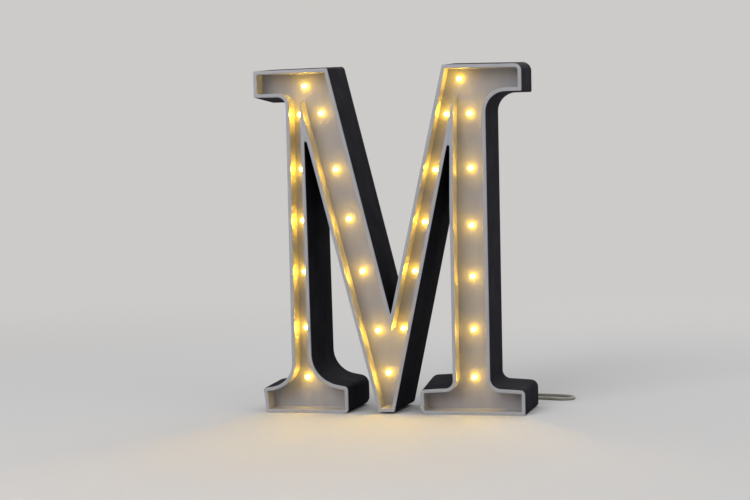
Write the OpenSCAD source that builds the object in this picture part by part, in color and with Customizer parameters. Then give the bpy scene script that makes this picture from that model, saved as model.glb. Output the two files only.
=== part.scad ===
// Free-standing night light in the shape of a serif capital M.
// X runs to the right, Y runs from the open front to the back cover, Z is up.
// The origin is on the table, under the middle of the letter. All sizes are in millimetres.

/* [Letter outline] */
// Height of the letter's front
letter_h = 350; // [325:1:420]
// Width of the front, from serif end to serif end
letter_w = 275; // [252:1:330]
// Depth from the rim to the back edge
letter_d = 68; // [64:1:80]
// Rise of the two top edges towards the valley
apex_rise = 1; // [0:0.1:2]
// Height of the top serifs
serif_h = 27; // [25:0.5:34]
// Height of the right foot at its ends
foot_h = 25; // [24:0.5:34]
// Rise of the right foot's top edges from the ends to the stem
foot_rise = 2; // [0:0.5:4]
// Height of the left foot's outer end
foot_l_h = 25; // [23:0.5:30]
// Height of the left foot's inner end
foot_l_in_h = 27; // [24:0.5:32]
// Rise of the left foot's outer top edge from its end to the stem
foot_l_rise = 5.5; // [4:0.5:9]
// Rise of the left foot's inner top edge from its end to the stem
foot_l_in_rise = 7; // [4:0.5:9]
// Width of the thin left stem
thin_stem_w = 21; // [19:0.5:26]
// Width of the thick right stem
thick_stem_w = 38; // [35:0.5:43]
// Overhang of the top left serif past the thin stem
serif_over_l = 33.5; // [28:0.5:38]
// Overhang of the top right serif past the thick stem
serif_over_r = 36.5; // [32:0.5:40]
// Overhang of the left foot outside the thin stem
foot_over_l = 28; // [26:0.5:32]
// How far the top of that end slants past its bottom
foot_l_slant = 3; // [0:0.5:4]
// Overhang of the left foot towards the middle
foot_over_l_in = 37.5; // [35:0.5:43]
// Overhang of the right foot outside the thick stem
foot_over_r = 35; // [28:0.5:40]
// Overhang of the right foot towards the middle
foot_over_r_in = 33.5; // [24:0.5:36]
// Length of the top edge above the thin stem
top_l_w = 77.5; // [71:0.5:83]
// Length of the top edge above the thick stem
top_r_w = 79.5; // [73:0.5:85]
// Place of the valley between the diagonals, right of the letter's middle
valley_off = 0.5; // [-4:0.5:4]
// Height of the valley above the table
valley_h = 102; // [92:1:112]
// Place of the vertex's left corner, left of the letter's middle
vertex_off = 14; // [9:0.5:18]
// Width of the vertex where the diagonals meet
vertex_w = 16.5; // [14:0.5:20]
// Height of the vertex above the table
vertex_lift = 2; // [1:0.5:4]
// Height of the gap beside the thin stem
gap_l_h = 288; // [276:1:298]
// How far the tip of that gap reaches into the thin stem
gap_l_in = 2.5; // [0:0.5:4]
// Height of the gap beside the thick stem
gap_r_h = 284; // [274:1:294]
// How far the tip of that gap reaches into the thick stem
gap_r_in = 1.5; // [0.5:0.5:6]
// Height from which the thick stem's inner side slants to that tip
knee_h = 210; // [190:1:225]

/* [Lean of the sides] */
// How far the back edge stands out past the front edge, on most sides
side_lean = 2.4; // [0.5:0.1:3.5]
// The same on the two top edges
crown_lean = 3.8; // [1:0.1:5]
// The same on the right foot's end, the left foot's inner top and under the top left serif
foot_lean = 4; // [1:0.1:5]
// The same on the gaps' left sides, the right foot's inner top and the left foot's inner end
gap_lean = 6.6; // [2:0.1:7.5]
// The same on the top right serif's end and the left foot's outer end and top
end_lean = 0.8; // [0:0.1:2]

/* [Letter corners] */
// Radius of sharp corners
sharp_r = 1.2; // [0.8:0.1:2]
// Radius of the narrow ends of the gaps
narrow_r = 1.5; // [1.2:0.1:2]
// Radius of soft corners
soft_r = 4.5; // [2:0.5:6]
// Radius of the top right corner
crown_r = 7; // [4:0.5:9]
// Radius of the right foot's inner bottom corner
toe_r = 6.5; // [4:0.5:7]
// Radius of the bend where the thick stem's inner side starts to slant
knee_r = 60; // [30:5:90]
// Radius of the bracket under the top left serif
bracket_tl_r = 9; // [6:0.5:14]
// Radius of the bracket under the top right serif
bracket_tr_r = 20; // [10:0.5:22]
// Radius of the outer bracket of the left foot
bracket_bl_r = 25; // [14:0.5:28]
// Radius of the inner bracket of the left foot
bracket_bl_in_r = 32; // [20:0.5:33]
// Radius of the outer bracket of the right foot
bracket_br_r = 11; // [8:0.5:18]
// Radius of the inner bracket of the right foot
bracket_br_in_r = 8; // [6:0.5:14]

/* [Walls and boards] */
// Thickness of the side strips at the front
strip_t = 2.2; // [1.8:0.1:2.6]
// Width of the rim seen from the front
rim_w = 3.6; // [3.2:0.1:4.4]
// Thickness of the rim in front of the strips
rim_t = 1.5; // [1:0.1:3]
// Depth of the tray, from the rim to the face panel
tray_d = 20; // [18:0.5:26]
// Thickness of the face panel
panel_t = 4; // [3:0.5:6]
// Thickness of the back cover
cover_t = 4; // [3:0.5:5]
// Depth of the back cover inside the back edge
cover_recess = 6; // [5.5:0.5:9]
// Glue line between two boards
glue_fit = 0.1; // [0.05:0.05:0.2]
// Clearance round the back cover
cover_fit = 0.4; // [0.2:0.1:0.8]

/* [Lamps] */
// Diameter of a lamp's lens
lamp_d = 5; // [4:0.5:6]
// How far a lens stands out of the face panel
lamp_proud = 6; // [4:0.5:8]
// Width of the flange round a lens
lamp_flange_w = 0.5; // [0.3:0.1:0.8]
// Thickness of the flange
lamp_flange_t = 1; // [0.8:0.1:1.5]
// Clearance of a lens in its hole
lamp_fit = 0.15; // [0.1:0.05:0.3]
// Diameter of the sleeve over a lamp's legs
sleeve_d = 6.6; // [6:0.2:8]
// Length of the sleeve
sleeve_l = 8; // [5:0.5:9]
// Diameter of the string wire
wire_d = 1.6; // [1.2:0.1:2]
// Height of the lowest lamps
lamp_low = 36; // [33:0.5:40]
// Distance from the top edge down to the uppermost lamps of the stems
lamp_drop = 46; // [42:0.5:52]
// Distance of the left diagonal's lamps to the left of its midline
left_lamp_off = 1.6; // [0:0.1:6]
// Distance of the right diagonal's lamps to the right of its midline
right_lamp_off = 1.4; // [0:0.1:3]
// Distance of the thin stem's lamps to the right of its midline
thin_lamp_off = 1.6; // [0:0.1:3]
// Distance of the thick stem's lamps to the right of its midline
thick_lamp_off = 0.4; // [0:0.1:3]
// Distance of the top left lamp to the left of the thin stem's inner side
top_lamp_l = 5; // [3:0.5:9]
// Distance from the top edge down to the top left lamp
top_lamp_l_drop = 16; // [14:0.5:18]
// Distance of the top right lamp to the right of the thick stem's inner side
top_lamp_r = 9.5; // [7:0.5:11]
// Distance from the top edge down to the top right lamp
top_lamp_r_drop = 13; // [11:0.5:15]

/* [Cover fixings] */
// Side of a glue block
block_w = 10; // [8:0.5:12]
// Diameter of a cover screw's shank
screw_d = 3; // [2.5:0.1:3.5]
// Diameter of a cover screw's head
screw_head_d = 6; // [5.5:0.1:6.5]
// Length of a cover screw
screw_l = 16; // [12:0.5:20]
// Length of the cross recess in a screw's head
cross_l = 3.4; // [2.6:0.1:4]
// Width of the cross recess
cross_w = 0.8; // [0.6:0.1:1]
// Depth of the cross recess
cross_depth = 1; // [0.6:0.1:1.1]
// Clearance of a screw in the cover
screw_fit = 0.25; // [0.2:0.05:0.4]
// Clearance of a screw in its pilot hole
pilot_fit = 0.1; // [0.05:0.05:0.2]

/* [Switch] */
// Height of the switch's middle
switch_h = 62; // [58:0.5:64]
// Width of the bezel
bezel_w = 15; // [14.5:0.1:17]
// Height of the bezel
bezel_h = 21; // [20.5:0.1:24]
// Thickness of the bezel
bezel_t = 2; // [1.5:0.1:2.5]
// Width of the switch body
switch_w = 12.6; // [12.4:0.1:13.4]
// Height of the switch body
switch_body_h = 18.6; // [18.2:0.1:19.6]
// Depth of the switch body behind its bezel
switch_d = 12; // [10:0.5:13]
// Thickness of the switch body's walls
switch_wall = 1; // [0.8:0.1:1.2]
// Depth of the well that the rocker turns in
well_d = 6; // [5:0.5:7]
// Clearance of the switch in the cover
switch_fit = 0.2; // [0.1:0.05:0.3]
// Angle of the rocker to either side of its middle
rocker_tilt = 10; // [8:0.5:12]
// Gap between the rocker and the sides of its well
rocker_gap = 0.3; // [0.25:0.05:0.4]
// Gap between the rocker and the ends of its well
rocker_end_gap = 0.9; // [0.8:0.1:1.2]
// Height of the rocker's middle above its pivot
rocker_rise = 2.4; // [2:0.1:2.8]
// Depth of the pivot below the cover's outer face
pivot_depth = 1; // [0.8:0.1:1.5]
// Diameter of the rocker's pivot pins
pivot_d = 1.8; // [1.6:0.1:2]
// Running clearance round the pivot pins
pivot_fit = 0.05; // [0.03:0.01:0.08]
// Width of a solder blade
blade_w = 4.8; // [4:0.1:5]
// Thickness of a solder blade
blade_t = 0.8; // [0.6:0.1:1]
// Length of a solder blade
blade_l = 6; // [5:0.5:6.5]
// Distance of each blade from the switch's middle
blade_off = 4; // [3.5:0.1:5]

/* [Wiring] */
// Length of the terminal block
terminal_l = 20; // [16:0.5:22]
// Height of the terminal block
terminal_h = 11; // [9:0.5:12]
// Depth of the terminal block
terminal_d = 10; // [8:0.5:11]
// Diameter of the terminal screws
terminal_screw_d = 3.2; // [2.6:0.1:3.6]
// Width of the cord clamp
clamp_w = 6; // [5:0.5:8]
// Height of the cord clamp
clamp_h = 9; // [8:0.5:11]
// Distance of the terminal block's middle from the clamp
clamp_gap = 17; // [15:0.5:20]
// Radius of the cord's bend inside the foot
lead_bend_r = 6; // [5:0.5:6]

/* [Cord] */
// Diameter of the cord
cord_d = 3; // [2.8:0.1:3.2]
// Distance of the cord's hole from the right foot's end
relief_in = 24; // [22:0.5:28]
// Diameter of the strain relief at the cover
relief_d = 7.2; // [6:0.2:7.6]
// Diameter of the strain relief's flange
relief_flange_d = 11; // [9:0.2:11.4]
// Thickness of the strain relief's flanges
relief_flange_t = 1.5; // [1:0.1:2]
// Diameter of the strain relief in the cover
relief_neck_d = 7.8; // [6:0.2:8.4]
// Distance between neighbouring turns of the coil
coil_pitch = 3.5; // [3.5:0.1:3.6]
// Radius of the outermost turn
coil_outer_r = 27.5; // [27:0.25:28.5]
// Width of the tie
tie_w = 5; // [3:0.5:8]
// Thickness of the tie
tie_t = 0.8; // [0.6:0.1:0.9]
// Clearance between the tie and the turns
tie_fit = 0.35; // [0.3:0.05:0.4]

/* [Plug] */
// Length of the plug's grip
grip_l = 30; // [24:0.5:34]
// Width of the grip
grip_w = 15.7; // [14:0.1:16.5]
// Thickness of the grip
grip_t = 8; // [7:0.1:8]
// Radius of the grip's long edges
grip_r = 2; // [1:0.1:3]
// Length of the sleeve behind the grip
boot_l = 10; // [6:0.5:12]
// Diameter of the sleeve at the grip
boot_d = 6.4; // [5.4:0.1:7]
// Length of the metal shell outside the grip
shell_l = 12; // [11:0.1:13]
// Width of the metal shell
shell_w = 12; // [11.5:0.1:12.5]
// Thickness of the metal shell
shell_h = 4.5; // [4.2:0.1:4.8]
// Thickness of the shell's sheet metal
sheet_t = 0.3; // [0.2:0.05:0.4]
// Thickness of the contact carrier
carrier_t = 1.9; // [1.6:0.1:2.1]
// Clearance between the carrier and the shell
carrier_fit = 0.1; // [0.05:0.05:0.2]
// Width of a contact
contact_w = 1; // [0.8:0.1:1.2]
// Thickness of a contact
contact_t = 0.2; // [0.1:0.05:0.3]
// Distance between neighbouring contacts
contact_gap = 2.5; // [2:0.1:2.6]

/* [Hidden] */
$fn = 48;

// Colours of the pieces
BLACK_PAINT = "#232128";
WHITE_PAINT = "#e6e3dd";
RAW_BOARD = "#b58c5c";
ZINC = "#b9bbbd";
LAMP_WARM = "#fff1c4";
CLEAR_PVC = "#c9c7b4";
DARK_PLASTIC = "#1b1b1d";
PALE_PLASTIC = "#dcdad2";
CORD_PVC = "#8f9183";
COPPER_PART = "#b2734a";

// Places along the depth
y_front = -letter_d / 2;
y_back = letter_d / 2;
y_strip = y_front + rim_t;
y_panel = y_front + tray_d;
y_panel_back = y_panel + panel_t;
y_cover = y_back - cover_recess;
y_cover_in = y_cover - cover_t;
y_sleeve = y_panel_back + lamp_flange_t + sleeve_l;
y_wire = y_sleeve + wire_d / 2 + glue_fit;

// Places across the width, from the middle of the letter
x_left = -letter_w / 2;
x_right = letter_w / 2;
thin_x0 = x_left + serif_over_l;
thin_x1 = thin_x0 + thin_stem_w;
thick_x1 = x_right - serif_over_r;
thick_x0 = thick_x1 - thick_stem_w;
foot_l_x0 = thin_x0 - foot_over_l;
foot_l_x1 = thin_x1 + foot_over_l_in;
foot_r_x0 = thick_x0 - foot_over_r_in;
foot_r_x1 = thick_x1 + foot_over_r;
thick_mid = (thick_x0 + thick_x1) / 2;

// Corners of the front outline, clockwise from the top left: name, x, z, radius, whether an inset
// sharpens it, as a mitred joint does, or keeps the curves parallel, and the lean of the side that
// follows
MITRE = true;
PARALLEL = false;
UPRIGHT = 0;
corners = [
  ["serif_tl", x_left, letter_h, sharp_r, PARALLEL, crown_lean],
  ["apex_l", x_left + top_l_w, letter_h + apex_rise, sharp_r, PARALLEL, side_lean],
  ["valley", valley_off, valley_h, narrow_r, MITRE, side_lean],
  ["apex_r", x_right - top_r_w, letter_h + apex_rise, sharp_r, PARALLEL, crown_lean],
  ["serif_tr", x_right, letter_h, crown_r, PARALLEL, end_lean],
  ["serif_tr_low", x_right, letter_h - serif_h, sharp_r, PARALLEL, UPRIGHT],
  ["bracket_tr", thick_x1, letter_h - serif_h, bracket_tr_r, PARALLEL, side_lean],
  ["bracket_br", thick_x1, foot_h + foot_rise, bracket_br_r, PARALLEL, side_lean],
  ["foot_r_top", foot_r_x1, foot_h, soft_r, PARALLEL, foot_lean],
  ["foot_r_base", foot_r_x1, 0, sharp_r, PARALLEL, UPRIGHT],
  ["foot_r_base_in", foot_r_x0, 0, toe_r, PARALLEL, side_lean],
  ["foot_r_top_in", foot_r_x0, foot_h, soft_r, PARALLEL, gap_lean],
  ["bracket_br_in", thick_x0, foot_h + foot_rise, bracket_br_in_r, PARALLEL, side_lean],
  ["knee_r", thick_x0, knee_h, knee_r, PARALLEL, side_lean],
  ["gap_r", thick_x0 + gap_r_in, gap_r_h, narrow_r, MITRE, gap_lean],
  ["vertex_r", vertex_w - vertex_off, vertex_lift, sharp_r, PARALLEL, UPRIGHT],
  ["vertex_l", -vertex_off, vertex_lift, sharp_r, PARALLEL, side_lean],
  ["gap_l", thin_x1 - gap_l_in, gap_l_h, narrow_r, MITRE, gap_lean],
  ["bracket_bl_in", thin_x1, foot_l_in_h + foot_l_in_rise, bracket_bl_in_r, PARALLEL, foot_lean],
  ["foot_l_top_in", foot_l_x1, foot_l_in_h, soft_r, PARALLEL, gap_lean],
  ["foot_l_base_in", foot_l_x1, 0, soft_r, PARALLEL, UPRIGHT],
  ["foot_l_base", foot_l_x0, 0, sharp_r, PARALLEL, end_lean],
  ["foot_l_top", foot_l_x0 - foot_l_slant, foot_l_h, sharp_r, PARALLEL, end_lean],
  ["bracket_bl", thin_x0, foot_l_h + foot_l_rise, bracket_bl_r, PARALLEL, side_lean],
  ["bracket_tl", thin_x0, letter_h - serif_h, bracket_tl_r, PARALLEL, foot_lean],
  ["serif_tl_low", x_left, letter_h - serif_h, sharp_r, PARALLEL, side_lean]
];
function number(name) = search([name], corners)[0];
corner_count = len(corners);
arc_steps = 6;
least_r = 0.4;

// One corner of the outline, its neighbours found by counting round
function corner(i) = corners[(i + corner_count) % corner_count];
function place(i) = [corner(i)[1], corner(i)[2]];
function unit(v) = v / norm(v);
function along(i) = unit(place(i + 1) - place(i));
function outward(i) = [-along(i)[1], along(i)[0]];
function turn(i) = atan2(cross(along(i - 1), along(i)), along(i - 1) * along(i));

// How far a side moves outward: an even step, and a part of its lean from the front to the back
function edge_shift(i, grow, part) = grow + part * corner(i)[5];

// The corner after its two sides have moved outward, and its radius there, which keeps the tip of an
// inset gap clear of the top rim
function moved(i, grow, part) = let (
  n0 = outward(i - 1), n1 = outward(i),
  g0 = edge_shift(i - 1, grow, part), g1 = edge_shift(i, grow, part)
) place(i) + [g0 * n1[1] - g1 * n0[1], g1 * n0[0] - g0 * n1[0]] / cross(n0, n1);
function moved_r(i, grow, part) = let (
  r = corner(i)[3], mitred = corner(i)[4],
  step = (edge_shift(i - 1, grow, part) + edge_shift(i, grow, part)) / 2,
  reach = 1 / cos(turn(i) / 2) - 1
) max(
  least_r,
  r + (mitred ? min(grow, 0) : turn(i) < 0 ? step : -step),
  mitred ? (moved(i, grow, part)[1] - letter_h + 2 * rim_w) / reach : 0
);

// Points of the rounded corner, from the side before it to the side after it
function turned(v, a) = [v[0] * cos(a) - v[1] * sin(a), v[0] * sin(a) + v[1] * cos(a)];
function arc_points(i, grow, part) = let (
  r = moved_r(i, grow, part), a = turn(i),
  start = moved(i, grow, part) - along(i - 1) * r * tan(abs(a) / 2),
  middle = start + outward(i - 1) * (a < 0 ? -r : r)
) [for (k = [0 : arc_steps]) middle + turned(start - middle, a * k / arc_steps)];
function ring(grow, part = 0) = [for (i = [0 : corner_count - 1]) each arc_points(i, grow, part)];

// Points of the outline from the middle of one named corner to the middle of a later one
function chain(points, from, to) = let (
  n = arc_steps + 1, first = number(from),
  last = number(to) + (number(to) < first ? corner_count : 0)
) [for (k = [first * n + arc_steps / 2 : last * n + arc_steps / 2]) points[k % len(points)]];

front_ring = ring(0);
back_ring = ring(0, 1);
inner_ring = ring(-strip_t);

// A point of the outline at a depth
function at_depth(p, y) = [p[0], y, p[1]];

// An outline drawn in X and Z, given a thickness along Y
module plate(y0, y1) {
  translate([0, y1, 0])
    rotate([90, 0, 0])
      linear_extrude(y1 - y0)
        children();
}

// Faces of a tube of rings with n points each, closed by a fan at both ends
function tube_faces(count, n) = [
  for (i = [0 : count - 2]) for (k = [0 : n - 1]) each [
    [i * n + k, (i + 1) * n + (k + 1) % n, i * n + (k + 1) % n],
    [i * n + k, (i + 1) * n + k, (i + 1) * n + (k + 1) % n]
  ],
  for (k = [1 : n - 2]) [0, k, k + 1],
  for (k = [1 : n - 2]) let (e = (count - 1) * n) [e, e + k + 1, e + k]
];

// One side strip, mitred at both ends, with its outer face leaning out towards the back
module strip(from, to) {
  front = chain(front_ring, from, to);
  back = chain(back_ring, from, to);
  inner = chain(inner_ring, from, to);
  stations = len(front);
  corners_of_section = 4;
  polyhedron(
    [for (i = [0 : stations - 1]) each [
      at_depth(inner[i], y_strip), at_depth(inner[i], y_back),
      at_depth(back[i], y_back), at_depth(front[i], y_strip)
    ]],
    tube_faces(stations, corners_of_section)
  );
}

module top_left_strip() {
  color(BLACK_PAINT) strip("bracket_tl", "apex_l");
}

module valley_left_strip() {
  color(BLACK_PAINT) strip("apex_l", "valley");
}

module valley_right_strip() {
  color(BLACK_PAINT) strip("valley", "apex_r");
}

module top_right_strip() {
  color(BLACK_PAINT) strip("apex_r", "bracket_tr");
}

module right_side_strip() {
  color(BLACK_PAINT) strip("bracket_tr", "bracket_br");
}

module right_foot_strip() {
  color(BLACK_PAINT) strip("bracket_br", "bracket_br_in");
}

module right_gap_strip() {
  color(BLACK_PAINT) strip("bracket_br_in", "gap_r");
}

module right_diagonal_strip() {
  color(BLACK_PAINT) strip("gap_r", "vertex_r");
}

module vertex_strip() {
  color(BLACK_PAINT) strip("vertex_r", "vertex_l");
}

module left_diagonal_strip() {
  color(BLACK_PAINT) strip("vertex_l", "gap_l");
}

module left_gap_strip() {
  color(BLACK_PAINT) strip("gap_l", "bracket_bl_in");
}

module left_foot_strip() {
  color(BLACK_PAINT) strip("bracket_bl_in", "bracket_bl");
}

module left_side_strip() {
  color(BLACK_PAINT) strip("bracket_bl", "bracket_tl");
}

// White edging: a flat rim in front of the strips and a lining down to the face panel
module rim_liner() {
  color(WHITE_PAINT) {
    plate(y_front, y_strip)
      difference() {
        polygon(front_ring);
        polygon(ring(-rim_w));
      }
    plate(y_strip, y_panel)
      difference() {
        polygon(ring(-strip_t - glue_fit));
        polygon(ring(-rim_w));
      }
  }
}

// Lamp rows: evenly pitched, each lamp nudged up or down as it was fitted by hand
left_stem_nudge = [-1, -3, 1, 0, -1, 1];
left_diagonal_nudge = [-6, 1, 1, -2, 2];
right_diagonal_nudge = [-4, 1, -3, -4, -2];
right_stem_nudge = [0, -5, -5, -7, -3, -2];
vertex_nudge = 4;
top_row = len(left_stem_nudge) - 1;
row_pitch = (letter_h - lamp_drop - lamp_low) / top_row;
function row_z(i, nudge) = lamp_low + i * row_pitch + nudge;

// Place along the straight edge between two corners, and beyond it, at a height
function edge_x(a, b, z) = let (p = place(number(a)), q = place(number(b)))
  p[0] + (q[0] - p[0]) * (z - p[1]) / (q[1] - p[1]);
function left_stem_x(z) = (edge_x("bracket_bl", "bracket_tl", z) + edge_x("gap_l", "bracket_bl_in", z)) / 2;
function left_diagonal_x(z) = (edge_x("apex_l", "valley", z) + edge_x("gap_l", "vertex_l", z)) / 2;
function right_diagonal_x(z) = (edge_x("apex_r", "valley", z) + edge_x("gap_r", "vertex_r", z)) / 2;
function vertex_mid(z) = (edge_x("gap_l", "vertex_l", z) + edge_x("gap_r", "vertex_r", z)) / 2;

left_stem_lamps = [
  for (i = [0 : top_row]) let (z = row_z(i, left_stem_nudge[i]))
    [left_stem_x(z) + thin_lamp_off, z]
];
top_left_lamp = [thin_x1 - top_lamp_l, letter_h - top_lamp_l_drop];
left_diagonal_lamps = [
  for (i = [top_row : -1 : 1]) let (z = row_z(i, left_diagonal_nudge[i - 1]))
    [left_diagonal_x(z) - left_lamp_off, z]
];
vertex_lamp = let (z = row_z(0, vertex_nudge)) [vertex_mid(z) + (right_lamp_off - left_lamp_off) / 2, z];
right_diagonal_lamps = [
  for (i = [1 : top_row]) let (z = row_z(i, right_diagonal_nudge[i - 1]))
    [right_diagonal_x(z) + right_lamp_off, z]
];
top_right_lamp = [thick_x0 + top_lamp_r, letter_h - top_lamp_r_drop];
right_stem_lamps = [
  for (i = [top_row : -1 : 0]) [thick_mid + thick_lamp_off, row_z(i, right_stem_nudge[i])]
];
lamps = concat(
  left_stem_lamps, [top_left_lamp], left_diagonal_lamps, [vertex_lamp],
  right_diagonal_lamps, [top_right_lamp], right_stem_lamps
);

// Puts a shape that points up at each lamp, facing the front from the panel's back face
module at_lamps() {
  for (p = lamps)
    translate(at_depth(p, y_panel_back))
      rotate([90, 0, 0])
        children();
}

// Board that carries the lamps
module face_panel() {
  color(WHITE_PAINT)
    difference() {
      plate(y_panel, y_panel_back)
        polygon(ring(-strip_t - glue_fit));
      at_lamps()
        translate([0, 0, -1])
          cylinder(d = lamp_d + 2 * lamp_fit, h = panel_t + 2);
    }
}

// Domed lenses, each with a flange against the back of the face panel
module lamp_lenses() {
  color(LAMP_WARM)
    at_lamps()
      union() {
        translate([0, 0, -lamp_flange_t])
          cylinder(d = lamp_d + 2 * lamp_flange_w + 2 * lamp_fit, h = lamp_flange_t);
        cylinder(d = lamp_d, h = panel_t + lamp_proud - lamp_d / 2);
        translate([0, 0, panel_t + lamp_proud - lamp_d / 2])
          sphere(d = lamp_d);
      }
}

// Sleeves over the lamps' legs
module lamp_sleeves() {
  color(PALE_PLASTIC)
    at_lamps()
      translate([0, 0, -lamp_flange_t - sleeve_l])
        cylinder(d = sleeve_d, h = sleeve_l);
}

// A smooth line through points, and a round tube along a line
function spline_point(p, i, t) = let (
  a = p[max(i - 1, 0)], b = p[i], c = p[i + 1], d = p[min(i + 2, len(p) - 1)]
) (2 * b + (c - a) * t + (2 * a - 5 * b + 4 * c - d) * t * t + (3 * b - a - 3 * c + d) * t * t * t) / 2;
function smooth(p, steps) = [
  for (i = [0 : len(p) - 2]) for (k = [0 : steps - 1]) spline_point(p, i, k / steps),
  p[len(p) - 1]
];
function heading(p, i) = unit(p[min(i + 1, len(p) - 1)] - p[max(i - 1, 0)]);
function tube_points(p, r, n, up) = [
  for (i = [0 : len(p) - 1])
    let (side = unit(cross(heading(p, i), up)), rise = cross(side, heading(p, i)))
      for (k = [0 : n - 1]) p[i] + r * (cos(360 * k / n) * side + sin(360 * k / n) * rise)
];

module tube(p, d, n, up) {
  polyhedron(tube_points(p, d / 2, n, up), tube_faces(len(p), n));
}

// String wire behind the sleeves of one stroke
wire_sides = 6;
wire_steps = 3;
module string_wire(points) {
  color(CLEAR_PVC)
    tube(smooth([for (p = points) at_depth(p, y_wire)], wire_steps), wire_d, wire_sides, [0, 1, 0]);
}

module left_stem_wire() {
  string_wire(concat(left_stem_lamps, [top_left_lamp]));
}

// The wires of neighbouring strokes come together behind the lamp that they share
function past_lamp(lamp, next) = lamp + 2 * wire_d * unit(next - lamp);

module left_diagonal_wire() {
  string_wire(concat(
    [past_lamp(top_left_lamp, left_diagonal_lamps[0])], left_diagonal_lamps, [vertex_lamp]
  ));
}

module right_diagonal_wire() {
  string_wire(concat(
    [past_lamp(vertex_lamp, right_diagonal_lamps[0])], right_diagonal_lamps, [top_right_lamp]
  ));
}

// Route of the cord, from its strain relief to the coil and from the coil to the plug. X counts
// from the cord's hole in the cover.
lead_points = [
  [0, 42, 13], [0, 45, 13], [0, 48.5, 13], [0.2, 54, 12.2], [1, 60, 10], [2.8, 66, 6.8],
  [6, 71.5, 3.8], [11, 76, 2], [17.5, 78.5, 1.6], [25, 79, 1.6], [33, 77.5, 1.6], [41, 75, 1.6],
  [48, 74, 1.6], [54, 76, 1.6], [58, 81, 1.6], [58.5, 87, 1.6], [55.5, 93, 1.6], [49, 97.5, 1.6],
  [40, 100.5, 1.6], [30, 102.5, 1.6], [19, 104, 1.6], [8, 105, 1.6], [-3, 105, 1.8], [-14, 105, 2.4],
  [-23, 105, 2.7], [-27, 105, 2.7], [-31, 105, 2.7]
];
tail_points = [
  [-37, 105, 6.2], [-39, 105, 6.2], [-41, 105, 6.2], [-46, 105.1, 5.7], [-52, 106, 4.5],
  [-57.5, 108.2, 3.1], [-61.8, 112.2, 2], [-63.5, 117.5, 1.6], [-62.7, 123, 1.9], [-59.3, 127.4, 2.8],
  [-54, 129.7, 3.7], [-50, 130, 4], [-48, 130, 4], [-46, 130, 4]
];
relief_x = foot_r_x1 - relief_in;
lead_route = [for (p = lead_points) p + [relief_x, 0, 0]];
tail_route = [for (p = tail_points) p + [relief_x, 0, 0]];
relief_end = lead_route[0][1];
cord_sides = 8;
cord_h = lead_route[0][2];

// Places of the switch, the terminal block and the clamp
switch_at = [thick_mid, y_cover, switch_h];
terminal_at = [thick_mid - blade_w, y_cover_in - glue_fit - terminal_d / 2, cord_h];
clamp_x = terminal_at[0] + clamp_gap;

// The last wire drops from the lowest lamp to the top of the terminal block
module right_stem_wire() {
  lowest = at_depth(right_stem_lamps[top_row], y_wire);
  landing = terminal_at + [terminal_l / 4, 0, terminal_h / 2];
  stem = concat([past_lamp(top_right_lamp, right_stem_lamps[0])], right_stem_lamps);
  line = concat([for (p = stem) at_depth(p, y_wire)], [
    (lowest + landing) / 2 + [0, 0, wire_d],
    landing + [0, 0, 2 * wire_d],
    landing + [0, 0, wire_d],
    landing
  ]);
  color(CLEAR_PVC) tube(smooth(line, wire_steps), wire_d, wire_sides, [1, 0, 0]);
}

// Glue blocks in the corners, and the screws that draw the cover onto them
block_in = strip_t + glue_fit + block_w / 2;
block_places = [
  [x_left + block_in, letter_h - serif_h / 2],
  [x_left + top_l_w - block_w - strip_t, letter_h - serif_h / 2],
  [x_right - block_in, letter_h - serif_h / 2],
  [foot_l_x0 + block_in, foot_l_h / 2],
  [foot_l_x1 - block_in, foot_l_in_h / 2],
  [foot_r_x0 + block_in, foot_h / 2],
  [foot_r_x1 - block_in, foot_h / 2],
  [vertex_mid(block_w * 2), block_w * 2]
];

// Puts a shape that points up at each block, facing the back from the cover's outer face
module at_blocks() {
  for (p = block_places)
    translate(at_depth(p, y_cover))
      rotate([-90, 0, 0])
        children();
}

module glue_blocks() {
  block_l = y_cover_in - y_panel_back - 2 * glue_fit;
  color(RAW_BOARD)
    at_blocks()
      difference() {
        translate([-block_w / 2, -block_w / 2, -cover_t - glue_fit - block_l])
          cube([block_w, block_w, block_l]);
        translate([0, 0, -screw_l - 1])
          cylinder(d = screw_d + 2 * pilot_fit, h = screw_l);
      }
}

screw_head_t = (screw_head_d - screw_d) / 2;
module cover_screws() {
  color(ZINC)
    at_blocks()
      difference() {
        union() {
          translate([0, 0, -screw_l])
            cylinder(d = screw_d, h = screw_l);
          translate([0, 0, -screw_head_t])
            cylinder(d1 = screw_d, d2 = screw_head_d, h = screw_head_t);
        }
        for (a = [0, 90])
          rotate([0, 0, a])
            translate([-cross_l / 2, -cross_w / 2, -cross_depth])
              cube([cross_l, cross_w, cross_depth + 1]);
      }
}

// Cover let into the back, with places for the screws, the switch and the strain relief
module back_cover() {
  color(BLACK_PAINT)
    difference() {
      plate(y_cover_in, y_cover)
        polygon(ring(-strip_t - cover_fit));
      at_blocks() {
        translate([0, 0, -cover_t - 1])
          cylinder(d = screw_d + 2 * screw_fit, h = cover_t + 2);
        translate([0, 0, -screw_head_t])
          cylinder(d1 = screw_d + 2 * screw_fit, d2 = screw_head_d + 2 * screw_fit, h = screw_head_t);
      }
      translate(switch_at - [switch_w / 2 + switch_fit, cover_t + 1, switch_body_h / 2 + switch_fit])
        cube([switch_w + 2 * switch_fit, cover_t + 2, switch_body_h + 2 * switch_fit]);
      translate([relief_x, y_cover_in - 1, cord_h])
        rotate([-90, 0, 0])
          cylinder(d = relief_neck_d + 2 * glue_fit, h = cover_t + 2);
    }
}

// Rocker switch: Y points out of the cover
well_w = switch_w - 2 * switch_wall;
well_h = switch_body_h - 2 * switch_wall;
rocker_w = well_w - 2 * rocker_gap;
rocker_half = well_h / 2 - rocker_end_gap;

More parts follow.
